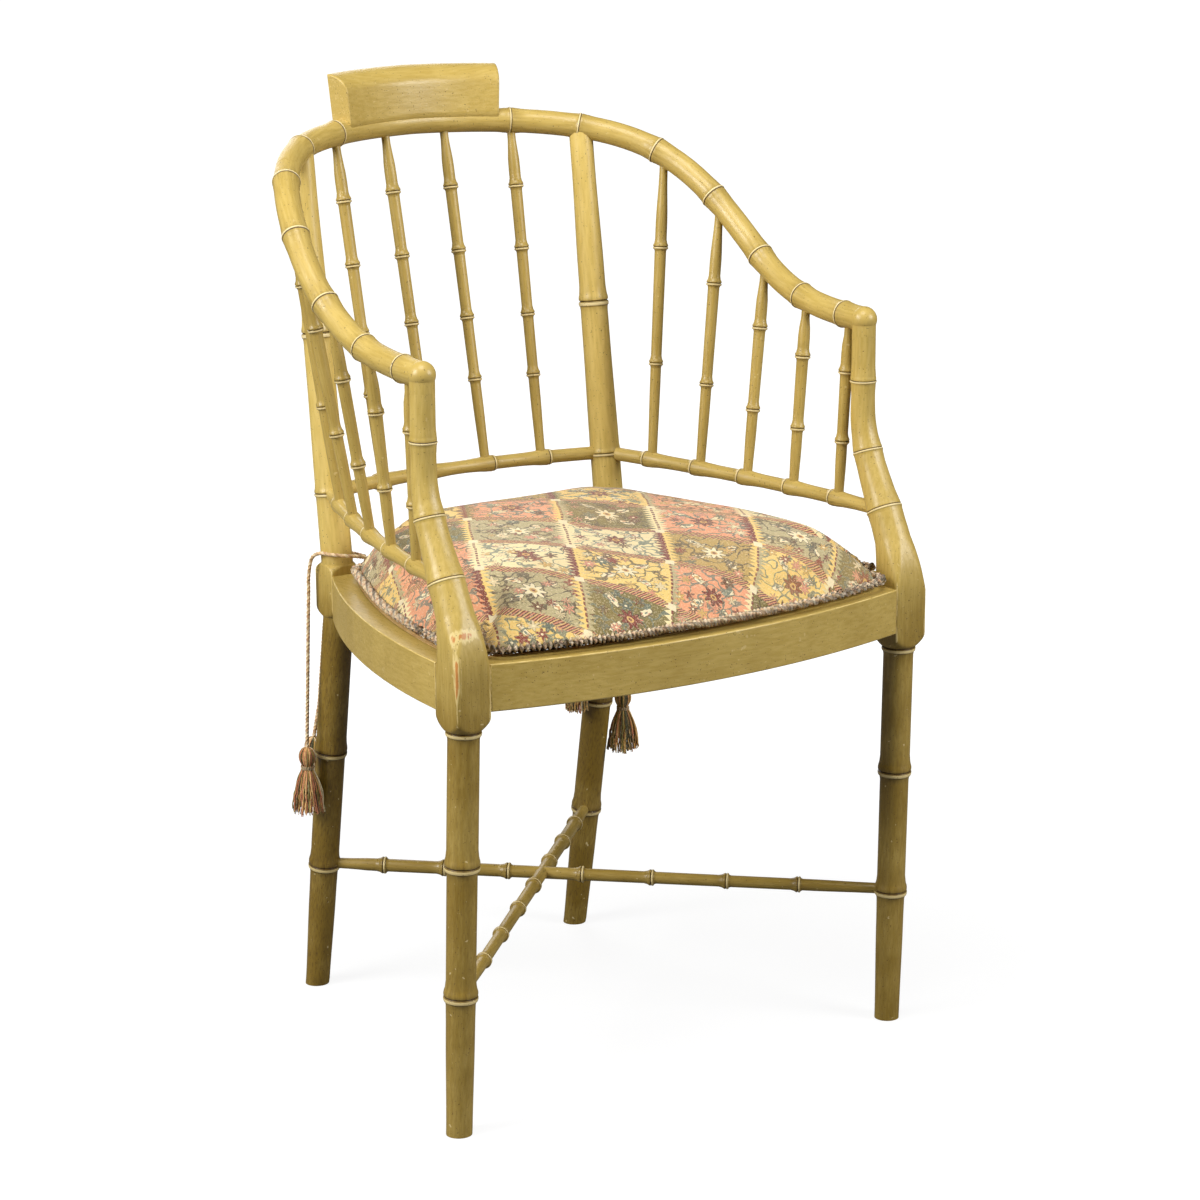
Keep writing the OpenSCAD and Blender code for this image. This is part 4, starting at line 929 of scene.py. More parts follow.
def spindle(name, foot, head, shares, node):
    length = (head - foot).length
    thin = [(0, 4.3), (9, 4.5), (length * shares[0] - 20, 5.1), (length * shares[-1] + 20, 5.6),
            (length - 16, 3.95), (length, 3.9)]
    return finished(stick(name, foot, head, 0.4, shares, thin, 1.75, spindle_paint), node)


spindles = []
for number, x in enumerate(SPINDLE_X, 1):
    head = hoop_at(across_ring(x * FAN))
    spindles.append(spindle(f"turned_back_spindle_{number}", back_stay_at(x), head,
                            BACK_SPINDLE_RINGS, f"back_spindle_{number}"))
for side, word in ((-1, "left"), (1, "right")):
    for number, ring in enumerate(ARM_RINGS, 1):
        foot = stay_at(stay_ring(number) + TWIG_GAP / STAY_LEN)
        head = hoop_at(ring + TWIG_GAP * HOOP_DEG)
        spindles.append(spindle(f"turned_side_spindle_{word}_{number}", mirrored(foot, side),
                                mirrored(head, side), SIDE_SPINDLE_RINGS,
                                f"side_spindle_{word}_{number}"))
print(len(spindles), "spindles")

# %% [markdown]
# The two stretchers run from each front leg to the rear leg on the other side and cross under the
# seat. They meet the legs at the lower rings. Front legs lean a little and rear legs rake well
# back, so both leg lines are written first.

# %% Turn the stretchers
RAIL_FOOT = 383.5
BLOCK, BLOCK_FOOT = 34, 368
LEG_RINGS = (129, 247)
FRONT_SPLAY, FRONT_RAKE = 0.5, 2
REAR_SPLAY, REAR_RAKE = 0.4, 9.4
STRETCHER_RINGS = (0.160, 0.285, 0.416, 0.539, 0.670, 0.784, 0.892)


def slope(degrees):
    return math.tan(math.radians(degrees))


def front_leg_at(z):
    down = BLOCK_FOOT - z
    return Vector((LEG_X + down * slope(FRONT_SPLAY), down * slope(FRONT_RAKE), z))


def rear_leg_at(z):
    down = RAIL_FOOT - z
    return Vector((REAR_X - down * slope(REAR_SPLAY), DEPTH + down * slope(REAR_RAKE), z))


for side, word in ((-1, "left"), (1, "right")):
    foot = mirrored(front_leg_at(LEG_RINGS[0]), side)
    head = mirrored(rear_leg_at(LEG_RINGS[0]), -side)
    length = (head - foot).length
    thin = [(6, 4.9), (24, 5.0), (length * STRETCHER_RINGS[0] - 12, 5.5),
            (length * STRETCHER_RINGS[-1] + 12, 6.1), (length - 24, 5.2), (length - 6, 4.9)]
    piece = stick("turned_stretcher_" + word, foot, head, 6, STRETCHER_RINGS, thin, 2.0,
                  stretcher_paint)
    finished(piece, "stretcher_" + word)
    print(piece.name, round(length), "mm")

# %% [markdown]
# ## The hoop
# Crest and arms are one hoop glued up from three bent pieces. Its joints are finer: a thin cream
# line that stands on a soft swelling. At the elbow the rail meets a short upright with a rounded
# outer corner and a crisp inner one, which is what a ball as thick as the rail leaves.

# %% Sweep the hoop
HOOP_R, HOOP_RISE = 11.4, 1.3
UPRIGHT_R, KNUCKLE_R = 10.95, 0.0119
CREST_END = 54
BENT_CUT = dict(bead_place=-0.9, bead_width=0.95, bead_height=0.0005, groove_width=0.5,
                groove_depth=0.0004)


def bent(name, side, first, last, rings):
    """A stretch of the hoop between two angles, with rings that face away from the crest."""
    joints = [(ring / HOOP_DEG, 1.0, 1 if ring > 0 else -1) for ring in rings]
    return bamboo(name, lambda s: mirrored(hoop_at(s), side), (first, last), joints,
                  lambda s: HOOP_R, HOOP_RISE, table=BENT, per_mm=HOOP_DEG, **BENT_CUT)


def knuckle_at(corner):
    """A ball where rail and upright meet."""
    ball = bmesh.new()
    bmesh.ops.create_uvsphere(ball, u_segments=48, v_segments=24, radius=KNUCKLE_R)
    bmesh.ops.translate(ball, vec=spot(*corner), verts=ball.verts)
    for face in ball.faces:
        face.smooth = True
    mesh = bpy.data.meshes.new("knuckle")
    ball.to_mesh(mesh)
    ball.free()
    return link(bpy.data.objects.new("knuckle", mesh))


crest_rings = (-POST_RING, -CREST_RING, CREST_RING, POST_RING)
crest = bent("crest_hoop", 1, -CREST_END, CREST_END, crest_rings)
for side, word in ((-1, "left"), (1, "right")):
    rail = bent("rail_" + word, side, CREST_END, HOOP_END, ARM_RINGS)
    corner = mirrored(hoop_at(HOOP_END), side)
    up = bamboo("upright_" + word, lambda s: Vector((corner.x, corner.y, s)),
                (POST_TOP, corner.z), [], lambda s: UPRIGHT_R, 0)
    arm = welded("arm_of_hoop_" + word, [rail, up, knuckle_at(corner)])
    finished(arm, "arm_rail_" + word)
    print(arm.name, "has", len(arm.data.polygons), "faces")

# %% [markdown]
# ## The tablet
# Over the middle of the crest stands a tablet, a shaped board whose top is rolled forward so that
# a sitter's neck meets no edge. Its section is the same all along, so it is a loft: one outline
# set square to the hoop again and again. The outline also carries how sharp each edge is, and the
# paint wears thin there.

# %% A loft
def lay_grain(mesh, long):
    """Stores the brush direction: places squeezed along the piece's long axis."""
    squeeze = Vector((GRAIN_STRETCH if axis == long else 1 for axis in range(3)))
    flat = [number for corner in mesh.vertices for number in corner.co * squeeze]
    mesh.attributes.new("grain", "FLOAT_VECTOR", "POINT").data.foreach_set("vector", flat)


def close_shell(mesh):
    """Turns the faces outwards and smooths the four-sided ones."""
    shell = bmesh.new()
    shell.from_mesh(mesh)
    bmesh.ops.recalc_face_normals(shell, faces=shell.faces)
    for face in shell.faces:
        face.smooth = len(face.verts) == 4
    shell.to_mesh(mesh)
    shell.free()


def loft(name, rings, worn=(), long=2):
    """Skins closed rings of points, with flat ends. worn gives each ring point's edge wear."""
    count = len(rings[0])
    verts = [p for ring in rings for p in ring]
    faces = [
        (i * count + j, i * count + (j + 1) % count, (i + 1) * count + (j + 1) % count,
         (i + 1) * count + j)
        for i in range(len(rings) - 1) for j in range(count)
    ]
    faces += [tuple(range(count))[::-1], tuple(range(len(verts) - count, len(verts)))]
    mesh = bpy.data.meshes.new(name)
    mesh.from_pydata(verts, [], faces)
    if worn:
        wear = [w for row in worn for w in row]
        mesh.attributes.new("arris", "FLOAT", "POINT").data.foreach_set("value", wear)
    lay_grain(mesh, long)
    close_shell(mesh)
    return link(bpy.data.objects.new(name, mesh))


print("lofts are ready")

# %% [markdown]
# The tablet's section is upright behind and rolls over forward in a quarter round at the top. It
# leans back a little. At both ends the last two rings draw in, which softens the cut edge as
# sandpaper does.

# %% The tablet's outline, carried along the crest
TABLET_W, TABLET_H, TABLET_ROLL = 10.9, 53, 17
LEAN = math.tan(math.radians(5))
ROLL_STEPS, ROLL_DEGREES = 18, 5
EDGE_WEAR = {0: 0.7, ROLL_STEPS: 0.25}
END_WEAR = 0.4
TABLET_ENDS = [21.2, 21.13, 20.9, 20.5]
END_SHRINK = {21.2: 0.955, 21.13: 0.985}


def hoop_run(angle):
    return (hoop_at(angle + 0.2) - hoop_at(angle - 0.2)).normalized()


def tablet_outline():
    """Width, height and edge wear of each point round the section."""
    points = [(-TABLET_W, 0.0, 0), (TABLET_W, 0.0, 0), (TABLET_W, 26, 0), (TABLET_W, 44, 0)]
    for step in range(ROLL_STEPS + 1):
        u = math.radians(step * ROLL_DEGREES)
        height = TABLET_H - TABLET_ROLL * (1 - math.cos(u))
        points.append((TABLET_W * (1 - 2 * math.sin(u)), height, EDGE_WEAR.get(step, 0)))
    return points + [(-TABLET_W, 22, 0), (-TABLET_W, 10, 0)]


outline = tablet_outline()
rings, worn = [], []
places = TABLET_ENDS + [19.5 - 39 * j / 40 for j in range(41)] + [-a for a in TABLET_ENDS[::-1]]
for angle in places:
    run = hoop_run(angle)
    side = Vector((0, 0, 1)).cross(run).normalized()
    up = run.cross(side)
    centre = hoop_at(angle)
    shrink = END_SHRINK.get(abs(angle), 1.0)
    rings.append([
        spot(*(centre + side * ((w * shrink) + h * LEAN) + up * (h - (1 - shrink) * h * 0.6)))
        for w, h, edge in outline
    ])
    end_wear = END_WEAR if abs(angle) == TABLET_ENDS[0] else 0
    worn.append([max(edge, end_wear) for w, h, edge in outline])
tablet = loft("tablet", rings, worn, long=0)
crest_piece = welded("crest_with_tablet", [crest, tablet])
finished(crest_piece, "crest_rail")
print("crest rail has", len(crest_piece.data.polygons), "faces")

# %% [markdown]
# ## The stay rails
# The lower rails that carry the spindles are thin, and each joint is fat on the side where its
# spindle stands, like the stump of a twig on a cane. The table of swelling is lopsided for that.

# %% Sweep the stay rails
STAY_R, STAY_RISE, STAY_INSET = 6.1, 1.9, 9
BACK_STAY_HALF = 143.5
STAY_CUT = dict(bead_place=-1.1, bead_width=1.0, bead_height=0.0004, groove_width=0.45,
                groove_depth=0.0006, sides=24)


def stay(name, node, at, span, joints, per_mm=1.0):
    rail = bamboo(name, at, span, joints, lambda s: STAY_R, STAY_RISE, table=HORN,
                  per_mm=per_mm, **STAY_CUT)
    return finished(rail, node)


for side, word in ((-1, "left"), (1, "right")):
    joints = [(stay_ring(number) * STAY_LEN, 1.0, 1) for number in range(1, 6)]
    stay("bent_stay_" + word, "stay_rail_" + word, lambda s: mirrored(stay_at(s), side),
         (STAY_INSET / STAY_LEN, 1 - STAY_INSET / STAY_LEN), joints, 1 / STAY_LEN)
joints = []
for x in SPINDLE_X:
    joints.append((x + math.copysign(TWIG_GAP, x), 1.0, -1 if x > 0 else 1))
back_stay = stay("bent_stay_back", "stay_rail_back", back_stay_at,
                 (-BACK_STAY_HALF, BACK_STAY_HALF), joints)
print("the back stay rail has", len(back_stay.data.polygons), "faces")

# %% [markdown]
# ## The legs
# Each leg is one piece from floor to hoop: a tapered, turned leg with two joints, a square block
# that takes the seat rails, and a post above it. The front posts lean back in a long curve and
# turn from square to round over a few centimetres, which leaves the tongue of bare arris that
# every old chair wears through first.

# %% Turned legs and squared blocks
FOOT_R, SUNK = 11.5, -3
FRONT_TOP_DIA, REAR_TOP_DIA = 27.6, 28.6
RING_R = (14.7, 15.5)
COLLAR_RISE = 1.6


def lower_leg(name, at, top_dia, top_z, collar):
    """A turned leg from just under the floor, cut off level with it."""
    top = top_dia / 2
    low = (top + FOOT_R) / 2
    thin = [(SUNK, FOOT_R), (100, low), (LEG_RINGS[0], low + 0.4), (150, top - 0.7),
            (235, top - 0.5), (262, top), (top_z, top)]
    rises = {LEG_RINGS[0]: RING_R[0] - low, LEG_RINGS[1]: RING_R[1] - top + 0.3}
    joints = [(z, 1.0, 1) for z in LEG_RINGS]
    if collar:
        joints.append((top_z - 1.2, 0.9, 1))
    leg = bamboo(name, at, (SUNK, top_z + 2), joints, lambda s: swelling(thin, s),
                 lambda z: rises.get(z, COLLAR_RISE))
    for corner in leg.data.vertices:
        corner.co.z = max(corner.co.z, 0)
    return leg


SIDES, SOFT, ARRIS_WIDTH = 64, 1.2, 0.12


def squared(half, corner):
    """A square of this half width whose corners are cut round, with the wear of each point."""
    ring = []
    for j in range(SIDES):
        c, s = math.cos(2 * math.pi * j / SIDES), math.sin(2 * math.pi * j / SIDES)
        square = half / max(abs(c), abs(s))
        reach = min(square, corner)
        if abs(square - corner) < SOFT:
            reach -= (SOFT - abs(square - corner)) ** 2 / (4 * SOFT)
        sharp = 1 if corner > half * 1.3 else 0.0
        edge = max(0, 1 - abs(abs(c) - abs(s)) / ARRIS_WIDTH) * sharp
        ring.append((reach * c, reach * s, edge))
    return ring


print("blocks have", SIDES, "sides, so that they can turn round")

# %% [markdown]
# The front leg's upper part is a loft of such squares. Below the block the corners draw in to the
# turned leg. Above it the square melts into the round arm post over a few centimetres. On the left
# leg many hands have rubbed the front corner down to the wood.

# %% Carve the front legs
ARM_POST_DIA = 21.8
TAPER_FROM, TAPER_RUN = 435, 165
BLOCK_EASE, SQUARE_TO_ROUND = 12, 44
post_joints = [(491, 1.0, 1), (541, 1.0, 1), (605, 1.0, 1)]


def arm_post_r(z):
    taper = 1 - ease((z - TAPER_FROM) / TAPER_RUN)
    return (ARM_POST_DIA + (BLOCK - ARM_POST_DIA) * taper) / 2


def front_section(z, swell):
    full = BLOCK / math.sqrt(2) + 0.1
    below = max(0, 1 - (z - BLOCK_FOOT) / BLOCK_EASE)
    above = max(0, min(1, (z - BLOCK_TOP) / SQUARE_TO_ROUND))
    r = arm_post_r(z)
    half = BLOCK / 2 + (r - BLOCK / 2) * ease(above)
    corner = full - (full - BLOCK / 2 + 0.5) * below ** 1.7 - (full - r) * above ** 0.8
    return squared(half + swell, corner + swell)


def rubbed(z, across, out):
    """Where hands have worn the left leg's front corner down to the wood."""
    corner = bell(across, BLOCK / 2, 5) * bell(out, -BLOCK / 2, 5)
    run = ease((z - 394) / 12) * (1 - ease((z - 446) / 8))
    tongue = bell(z, 447, 5) * bell(across, 5, 13) * (1 if out < -9 else 0)
    return 1.25 * corner * run + 1.85 * tongue


def post_run_at(z):
    """The way the arm post runs. It stands straight up in the block."""
    if z <= BLOCK_TOP:
        return Vector((0, 0, 1))
    return (arm_post_at(z + 0.5) - arm_post_at(z - 0.5)).normalized()


def upper_front(name, side):
    heights = [BLOCK_FOOT + BLOCK_EASE * (j / 8) ** 1.5 for j in range(9)] + [385, 395, 405, 412]
    heights += [BLOCK_TOP + SQUARE_TO_ROUND * j / 16 for j in range(17)]
    heights += stations(466, POST_TOP, post_joints, 6)
    rings, worn, beads, grooves = [], [], [], []
    across = Vector((1, 0, 0))
    for z in heights:
        offset = z - min(post_joints, key=lambda j: abs(z - j[0]))[0]
        bead = math.exp(-abs((offset + 0.9) / 0.95) ** 4)
        groove = math.exp(-abs(offset / 0.5) ** 4)
        up = post_run_at(z).cross(across)
        section = front_section(z, swelling(BENT, offset) * 1.1 + bead * 0.5 - groove * 0.4)
        rings.append([
            spot(*mirrored(arm_post_at(z) + across * c + up * s, side)) for c, s, edge in section
        ])
        bare = 1 if side < 0 and z < 470 else 0
        worn.append([edge + bare * rubbed(z, c, s) for c, s, edge in section])
        beads += [bead] * SIDES
        grooves += [groove] * SIDES
    post = loft(name, rings, worn)
    for label, values in (("bead", beads), ("groove", grooves)):
        post.data.attributes.new(label, "FLOAT", "POINT").data.foreach_set("value", values)
    return post


for side, word in ((-1, "left"), (1, "right")):
    leg = lower_leg("lower_" + word, lambda z: mirrored(front_leg_at(z), side), FRONT_TOP_DIA,
                    BLOCK_FOOT, collar=True)
    post = upper_front("upper_" + word, side)
    whole = finished(welded("carved_front_leg_" + word, [leg, post]), "front_leg_" + word)
    print(whole.name, len(whole.data.polygons), "faces")

# %% [markdown]
# A rear leg is three shapes in one piece of wood: a raked leg, a smaller block that takes the back
# and side rails, and a leaning post up to the hoop. The post has a fine ring where the stay rails
# enter it and a full one higher up.

# %% Turn the rear legs and back posts
REAR_HALF = 15
REAR_EASE = [0, 0.6, 1.4, 2.6, 4, 5.6, 8]
RING_HIGH_Z = 646
REAR_TUCK = 2  # how far leg and post reach into the block


def rear_block(name, side):
    """The square block. Its corners are drawn in at both ends."""
    corner = REAR_HALF * math.sqrt(2) + 0.2
    drawn = corner - REAR_HALF + 0.2
    heights = [RAIL_FOOT + h for h in REAR_EASE] + [400, 410, 420]
    heights += [REAR_BLOCK_TOP - h for h in REAR_EASE[::-1]]
    rings, worn = [], []
    for z in heights:
        u = min(z - RAIL_FOOT, REAR_BLOCK_TOP - z, REAR_EASE[-1]) / REAR_EASE[-1]
        section = squared(REAR_HALF, corner - drawn * (1 - u) ** 1.7)
        rings.append([spot(*mirrored(Vector((REAR_X + c, DEPTH + s, z)), side))
                      for c, s, edge in section])
        worn.append([edge for c, s, edge in section])
    return loft(name, rings, worn)


post_len = (post_head - post_foot).length
post_run = (post_head - post_foot) / post_len
POST_K = post_len / (post_head.z - post_foot.z)
ring_low, ring_high = (STAY_H - REAR_BLOCK_TOP) * POST_K, (RING_HIGH_Z - REAR_BLOCK_TOP) * POST_K
post_thin = [(-REAR_TUCK, 14.7), (ring_low, 14.4), (ring_high - 30, 13.3), (ring_high + 30, 12.7),
             (post_len - 40, 11.3), (post_len, 11.3)]
for side, word in ((-1, "left"), (1, "right")):
    leg = lower_leg("rear_lower_" + word, lambda z: mirrored(rear_leg_at(z), side), REAR_TOP_DIA,
                    RAIL_FOOT + REAR_TUCK, collar=False)
    block = rear_block("rear_block_" + word, side)
    post = bamboo("back_post_" + word, lambda s: mirrored(post_foot + post_run * s, side),
                  (-REAR_TUCK, post_len - 4), [(ring_low, 0.6, 1), (ring_high, 1.0, 1)],
                  lambda s: swelling(post_thin, s), lambda s: 1.1 if s < 100 else 1.3)
    whole = finished(welded("turned_rear_leg_" + word, [leg, block, post], rear_paint),
                     "rear_leg_" + word)
    print(whole.name, len(whole.data.polygons), "faces")

# %% [markdown]
# ## The seat frame
# The rails were sawn to their bow and only lightly sanded before painting, so their edges are
# crisp but not sharp. The measured rails have perfect edges: a welded copy gets a narrow bevel, and
# the middle of each bevel is marked so that the paint can wear through along it.

# %% Soften the sawn parts
CREASE, FLAT = 28, 1.2
RAIL_BEVEL, BLOCK_BEVEL, PLUG_BEVEL = 0.0012, 0.0008, 0.0003


def softened(name, node, width, long, coat):
    """A bevelled copy of a measured part, with the wear of its edges and its grain."""
    shell = bmesh.new()
    shell.from_mesh(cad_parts[node].data)
    bmesh.ops.remove_doubles(shell, verts=shell.verts, dist=2e-5)
    bmesh.ops.dissolve_limit(shell, angle_limit=math.radians(FLAT), verts=shell.verts,
                             edges=shell.edges)
    sharp = [e for e in shell.edges
             if len(e.link_faces) == 2 and e.calc_face_angle(0) > math.radians(CREASE)]
    cut = bmesh.ops.bevel(shell, geom=sharp, offset=width, segments=2, profile=0.5,
                          affect="EDGES", clamp_overlap=True)
    wear = shell.verts.layers.float.new("arris")
    new = set(cut["faces"])
    for corner in shell.verts:
        corner[wear] = 1.0 if all(f in new for f in corner.link_faces) else 0.0
    bmesh.ops.triangulate(shell, faces=[f for f in shell.faces if len(f.verts) > 4])
    for face in shell.faces:
        face.smooth = face in new
    mesh = bpy.data.meshes.new(name)
    shell.to_mesh(mesh)
    shell.free()
    lay_grain(mesh, long)
    mesh.materials.append(coat)
    return finished(link(bpy.data.objects.new(name, mesh)), node)


for word, long in (("front", 0), ("back", 0), ("left", 1), ("right", 1)):
    sawn = softened("sawn_rail_" + word, "seat_rail_" + word, RAIL_BEVEL, long, rail_paint)
    print(sawn.name, len(sawn.data.polygons), "faces")
for word in ("front_left", "front_right", "rear_left", "rear_right"):
    softened("glue_block_" + word, "corner_block_" + word, BLOCK_BEVEL, 0, beech)
softened("filled_plug", "crest_plug", PLUG_BEVEL, 0, paint)

# %% [markdown]
# Cane, reed and dowels need no new shape: the measured parts are kept, and only get a material.

# %% Put the seat's own materials on the measured pieces
for node, material in (("cane_seat", cane), ("cane_spline", reed), ("hoop_dowels", beech),
                       ("elbow_dowels", beech)):
    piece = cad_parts[node]
    if not piece.material_slots:
        piece.data.materials.append(material)
    for socket in piece.material_slots:
        socket.material = material
    print(node, "is now", material.name)

# %% [markdown]
# ## The cushion's cover, flat
# The cushion wears a tapestry cloth woven as lozenge patches. Toothed bands run one way, hatched
# bands the other, with a cream square where they cross, and each patch holds flowers and leaves on
# its own ground. All of it is drawn by rule from the cloth's own flat coordinates, which each point
# of the cushion carries, so that the weave never smears down the sides.

# %% The lozenge grid
GRID_ORIGIN = Vector((-0.028, -0.052))
GRID_ACROSS, GRID_DOWN = Vector((0.062, -0.063)), Vector((-0.037, -0.067))
GROUNDS = {
    "cream": tone(255, 234, 178), "brown": tone(200, 164, 88), "gold": tone(255, 216, 124),
    "rose": tone(246, 168, 124), "olive": tone(134, 118, 62), "slate": tone(196, 180, 132),
}
GROUND_ORDER = "cream brown gold rose cream gold rose olive rose slate olive slate".split()


def grid_rule():
    """Rows that turn a place in metres into grid numbers, and each row's spacing in metres."""
    det = GRID_ACROSS.x * GRID_DOWN.y - GRID_DOWN.x * GRID_ACROSS.y
    rows = [Vector((GRID_DOWN.y, -GRID_DOWN.x)) / det, Vector((-GRID_ACROSS.y, GRID_ACROSS.x)) / det]
    return [(row, row.dot(GRID_ORIGIN), 1 / row.length) for row in rows]


def choices(tree, value, tones):
    """Hard steps: the value from 0 to 1 picks one of the tones."""
    ramp = add(tree, "ShaderNodeValToRGB", {"Fac": value})
    ramp.color_ramp.interpolation = "CONSTANT"
    points = ramp.color_ramp.elements
    for number, shade in enumerate(tones):
        point = points[number] if number < 2 else points.new(number / len(tones))
        point.position = number / len(tones)
        point.color = shade
    return ramp.outputs["Color"]


print("patches are", [round(1000 * gap) for row, offset, gap in grid_rule()], "mm apart")

# %% [markdown]
# The cloth is one group, built in layers as a designer would colour it: first where each point
# lies in its patch, then the ground, the leaves, the stems and flowers, the bands that frame the
# patch, and the yarns over all. Each layer takes the colour so far and gives a new one.

# %% Where a thread lies in its patch
WAVER = 0.004


def sums(tree):
    """Short words for one tree: op for any sum, both for a product, less for a comparison."""
    def op(kind, *values):
        return math_node(tree, kind, *values)

    def both(a, b):
        return op("MULTIPLY", a, b)

    def less(a, b):
        return op("LESS_THAN", a, b)

    return op, both, less


def vector_length(tree, x, y):
    joined = add(tree, "ShaderNodeCombineXYZ", {"X": x, "Y": y})
    return add(tree, "ShaderNodeVectorMath", {0: joined.outputs[0]},
               operation="LENGTH").outputs["Value"]


def wavering(tree, flat):
    """The flat cloth's coordinates, pulled a little askew as a weaver's hand leaves them."""
    pull = add(tree, "ShaderNodeTexNoise", {"Vector": flat, "Scale": 45.0, "Detail": 2.0})
    shift = add(tree, "ShaderNodeVectorMath",
                {0: pull.outputs["Color"], 1: (0.5, 0.5, 0.5)}, operation="SUBTRACT")
    return add(tree, "ShaderNodeVectorMath",
               {0: shift.outputs[0], 1: (WAVER, WAVER, 0), 2: flat},
               operation="MULTIPLY_ADD").outputs[0]


def patch_places(tree, cloth):
    """For both ways of the grid: the patch's number, metres from the nearest band, metres along
    the other band, and metres from the patch's middle."""
    op, both, less = sums(tree)
    number, near, run, inner = [], [], [], []
    for (row, start, gap), step in zip(grid_rule(), (GRID_ACROSS, GRID_DOWN)):
        dot = add(tree, "ShaderNodeVectorMath", {0: cloth, 1: (row.x, row.y, 0)},
                  operation="DOT_PRODUCT").outputs["Value"]
        count = op("SUBTRACT", dot, start)
        number.append(op("FLOOR", count))
        near.append(both(op("SUBTRACT", op("FRACT", op("ADD", count, 0.5)), 0.5), gap))
        run.append(both(count, step.length))
        inner.append(both(op("SUBTRACT", op("FRACT", count), 0.5), step.length))
    return number, near, run, inner


print("a thread can find its patch")

# %% [markdown]
# Every patch picks its ground from a list of twelve by its own number, and light or dark flowers
# to suit. Four leaves fill its corners. A ripple of noise frays their outline.

# %% Grounds and leaves
def ground_of(tree, number):
    """The ground's colour, its place in the list from 0 to 1, and whether it is a dark one."""
    op, both, less = sums(tree)
    count = float(len(GROUND_ORDER))
    pick = op("MULTIPLY_ADD", number[1], 5.0, number[0])
    pick = op("FRACT", op("DIVIDE", op("ADD", pick, 10 * count + 0.5), count))
    color = choices(tree, pick, [GROUNDS[name] for name in GROUND_ORDER])
    return color, pick, op("GREATER_THAN", op("FRACT", both(pick, count / 2)), 0.49)


def leaves_on(tree, get, color, cloth, inner, other):
    op, both, less = sums(tree)
    x, y = (op("SUBTRACT", op("ABSOLUTE", value), 0.0165) for value in inner)
    leaf = vector_length(tree, op("ADD", x, y), both(op("SUBTRACT", x, y), 2.1))
    ripple = cloud(tree, cloth, 260.0, 2.0)
    leaf = op("ADD", leaf, both(op("SUBTRACT", ripple, 0.5), 0.016))
    color = mixed(tree, color, get["Dark"], both(less(leaf, 0.0136), 0.75))
    blade = mixed(tree, get["Cream"], other, op("GREATER_THAN", ripple, 0.56))
    color = mixed(tree, color, blade, less(leaf, 0.0112))
    return mixed(tree, color, get["Teal"], less(leaf, 0.0028))


print("the twelve grounds use", len(GROUNDS), "colours")

# %% [markdown]
# Stems scroll over the patch wherever a slow noise crosses its middle value. Small flowers sit at
# scattered points, each with five to eight petals, and one larger flower stands in the middle.

# %% Stems and flowers
FLOWER_TONES = [tone(150, 62, 48), tone(236, 214, 168), tone(226, 150, 122), tone(104, 112, 96),
                tone(222, 176, 96), tone(120, 76, 50)]


def stems_on(tree, get, color, cloth, dark_ground):
    op, both, less = sums(tree)
    scroll = op("ABSOLUTE", op("SUBTRACT", cloud(tree, cloth, 62.0, 1.5), 0.5))
    vines = mixed(tree, get["Teal"], get["Dark"], dark_ground)
    return mixed(tree, color, vines, both(less(scroll, 0.028), 0.85))


def blooms_on(tree, get, color, cloth):
    """Small flowers at scattered points. A few of the points stay empty."""
    op, both, less = sums(tree)
    blooms = add(tree, "ShaderNodeTexVoronoi",
                 {"Vector": cloth, "Scale": 70.0, "Randomness": 0.75}).outputs
    hue = add(tree, "ShaderNodeSeparateXYZ", {"Vector": blooms["Color"]}).outputs
    heart = add(tree, "ShaderNodeVectorMath", {0: cloth, 1: blooms["Position"]},
                operation="SUBTRACT").outputs[0]
    heart = add(tree, "ShaderNodeSeparateXYZ", {"Vector": heart}).outputs
    round_it = op("ARCTAN2", heart["Y"], heart["X"])
    lobes = op("COSINE", both(round_it, op("ADD", 5.0, op("FLOOR", both(hue["X"], 3.99)))))
    bloom_r = op("MULTIPLY_ADD", hue["Y"], 0.16, op("MULTIPLY_ADD", lobes, 0.13, 0.24))
    shown = less(hue["Z"], 0.92)
    rim = both(less(blooms["Distance"], op("ADD", bloom_r, 0.07)), shown)
    color = mixed(tree, color, get["Dark"], both(rim, 0.6))
    shades = choices(tree, op("FRACT", both(hue["X"], 6.7)), FLOWER_TONES)
    color = mixed(tree, color, shades, both(less(blooms["Distance"], bloom_r), shown))
    return mixed(tree, color, get["Cream"], both(less(blooms["Distance"], 0.10), shown))


def middle_flower_on(tree, get, color, inner, light):
    op, both, less = sums(tree)
    reach = vector_length(tree, *inner)
    turn = op("ARCTAN2", inner[1], inner[0])
    petal = op("MULTIPLY_ADD", op("COSINE", both(turn, 8.0)), 0.0028, 0.0088)
    color = mixed(tree, color, get["Dark"], less(reach, op("ADD", petal, 0.0012)))
    color = mixed(tree, color, light, less(reach, petal))
    color = mixed(tree, color, get["Gold"], less(reach, 0.0036))
    return mixed(tree, color, get["Madder"], less(reach, 0.0017))


print("small flowers come in", len(FLOWER_TONES), "colours")

# %% [markdown]
# Hatched bands run one way, toothed bands the other, and a cream square covers each crossing. The
# toothed band has its own two colours along every patch edge, with a dashed line between them.

# %% Bands between the patches
HATCH_PITCH, TOOTH_PITCH = 0.0062, 0.0066
HATCH_TONES = [tone(130, 50, 42), tone(222, 150, 118), tone(118, 62, 46), tone(230, 192, 124)]


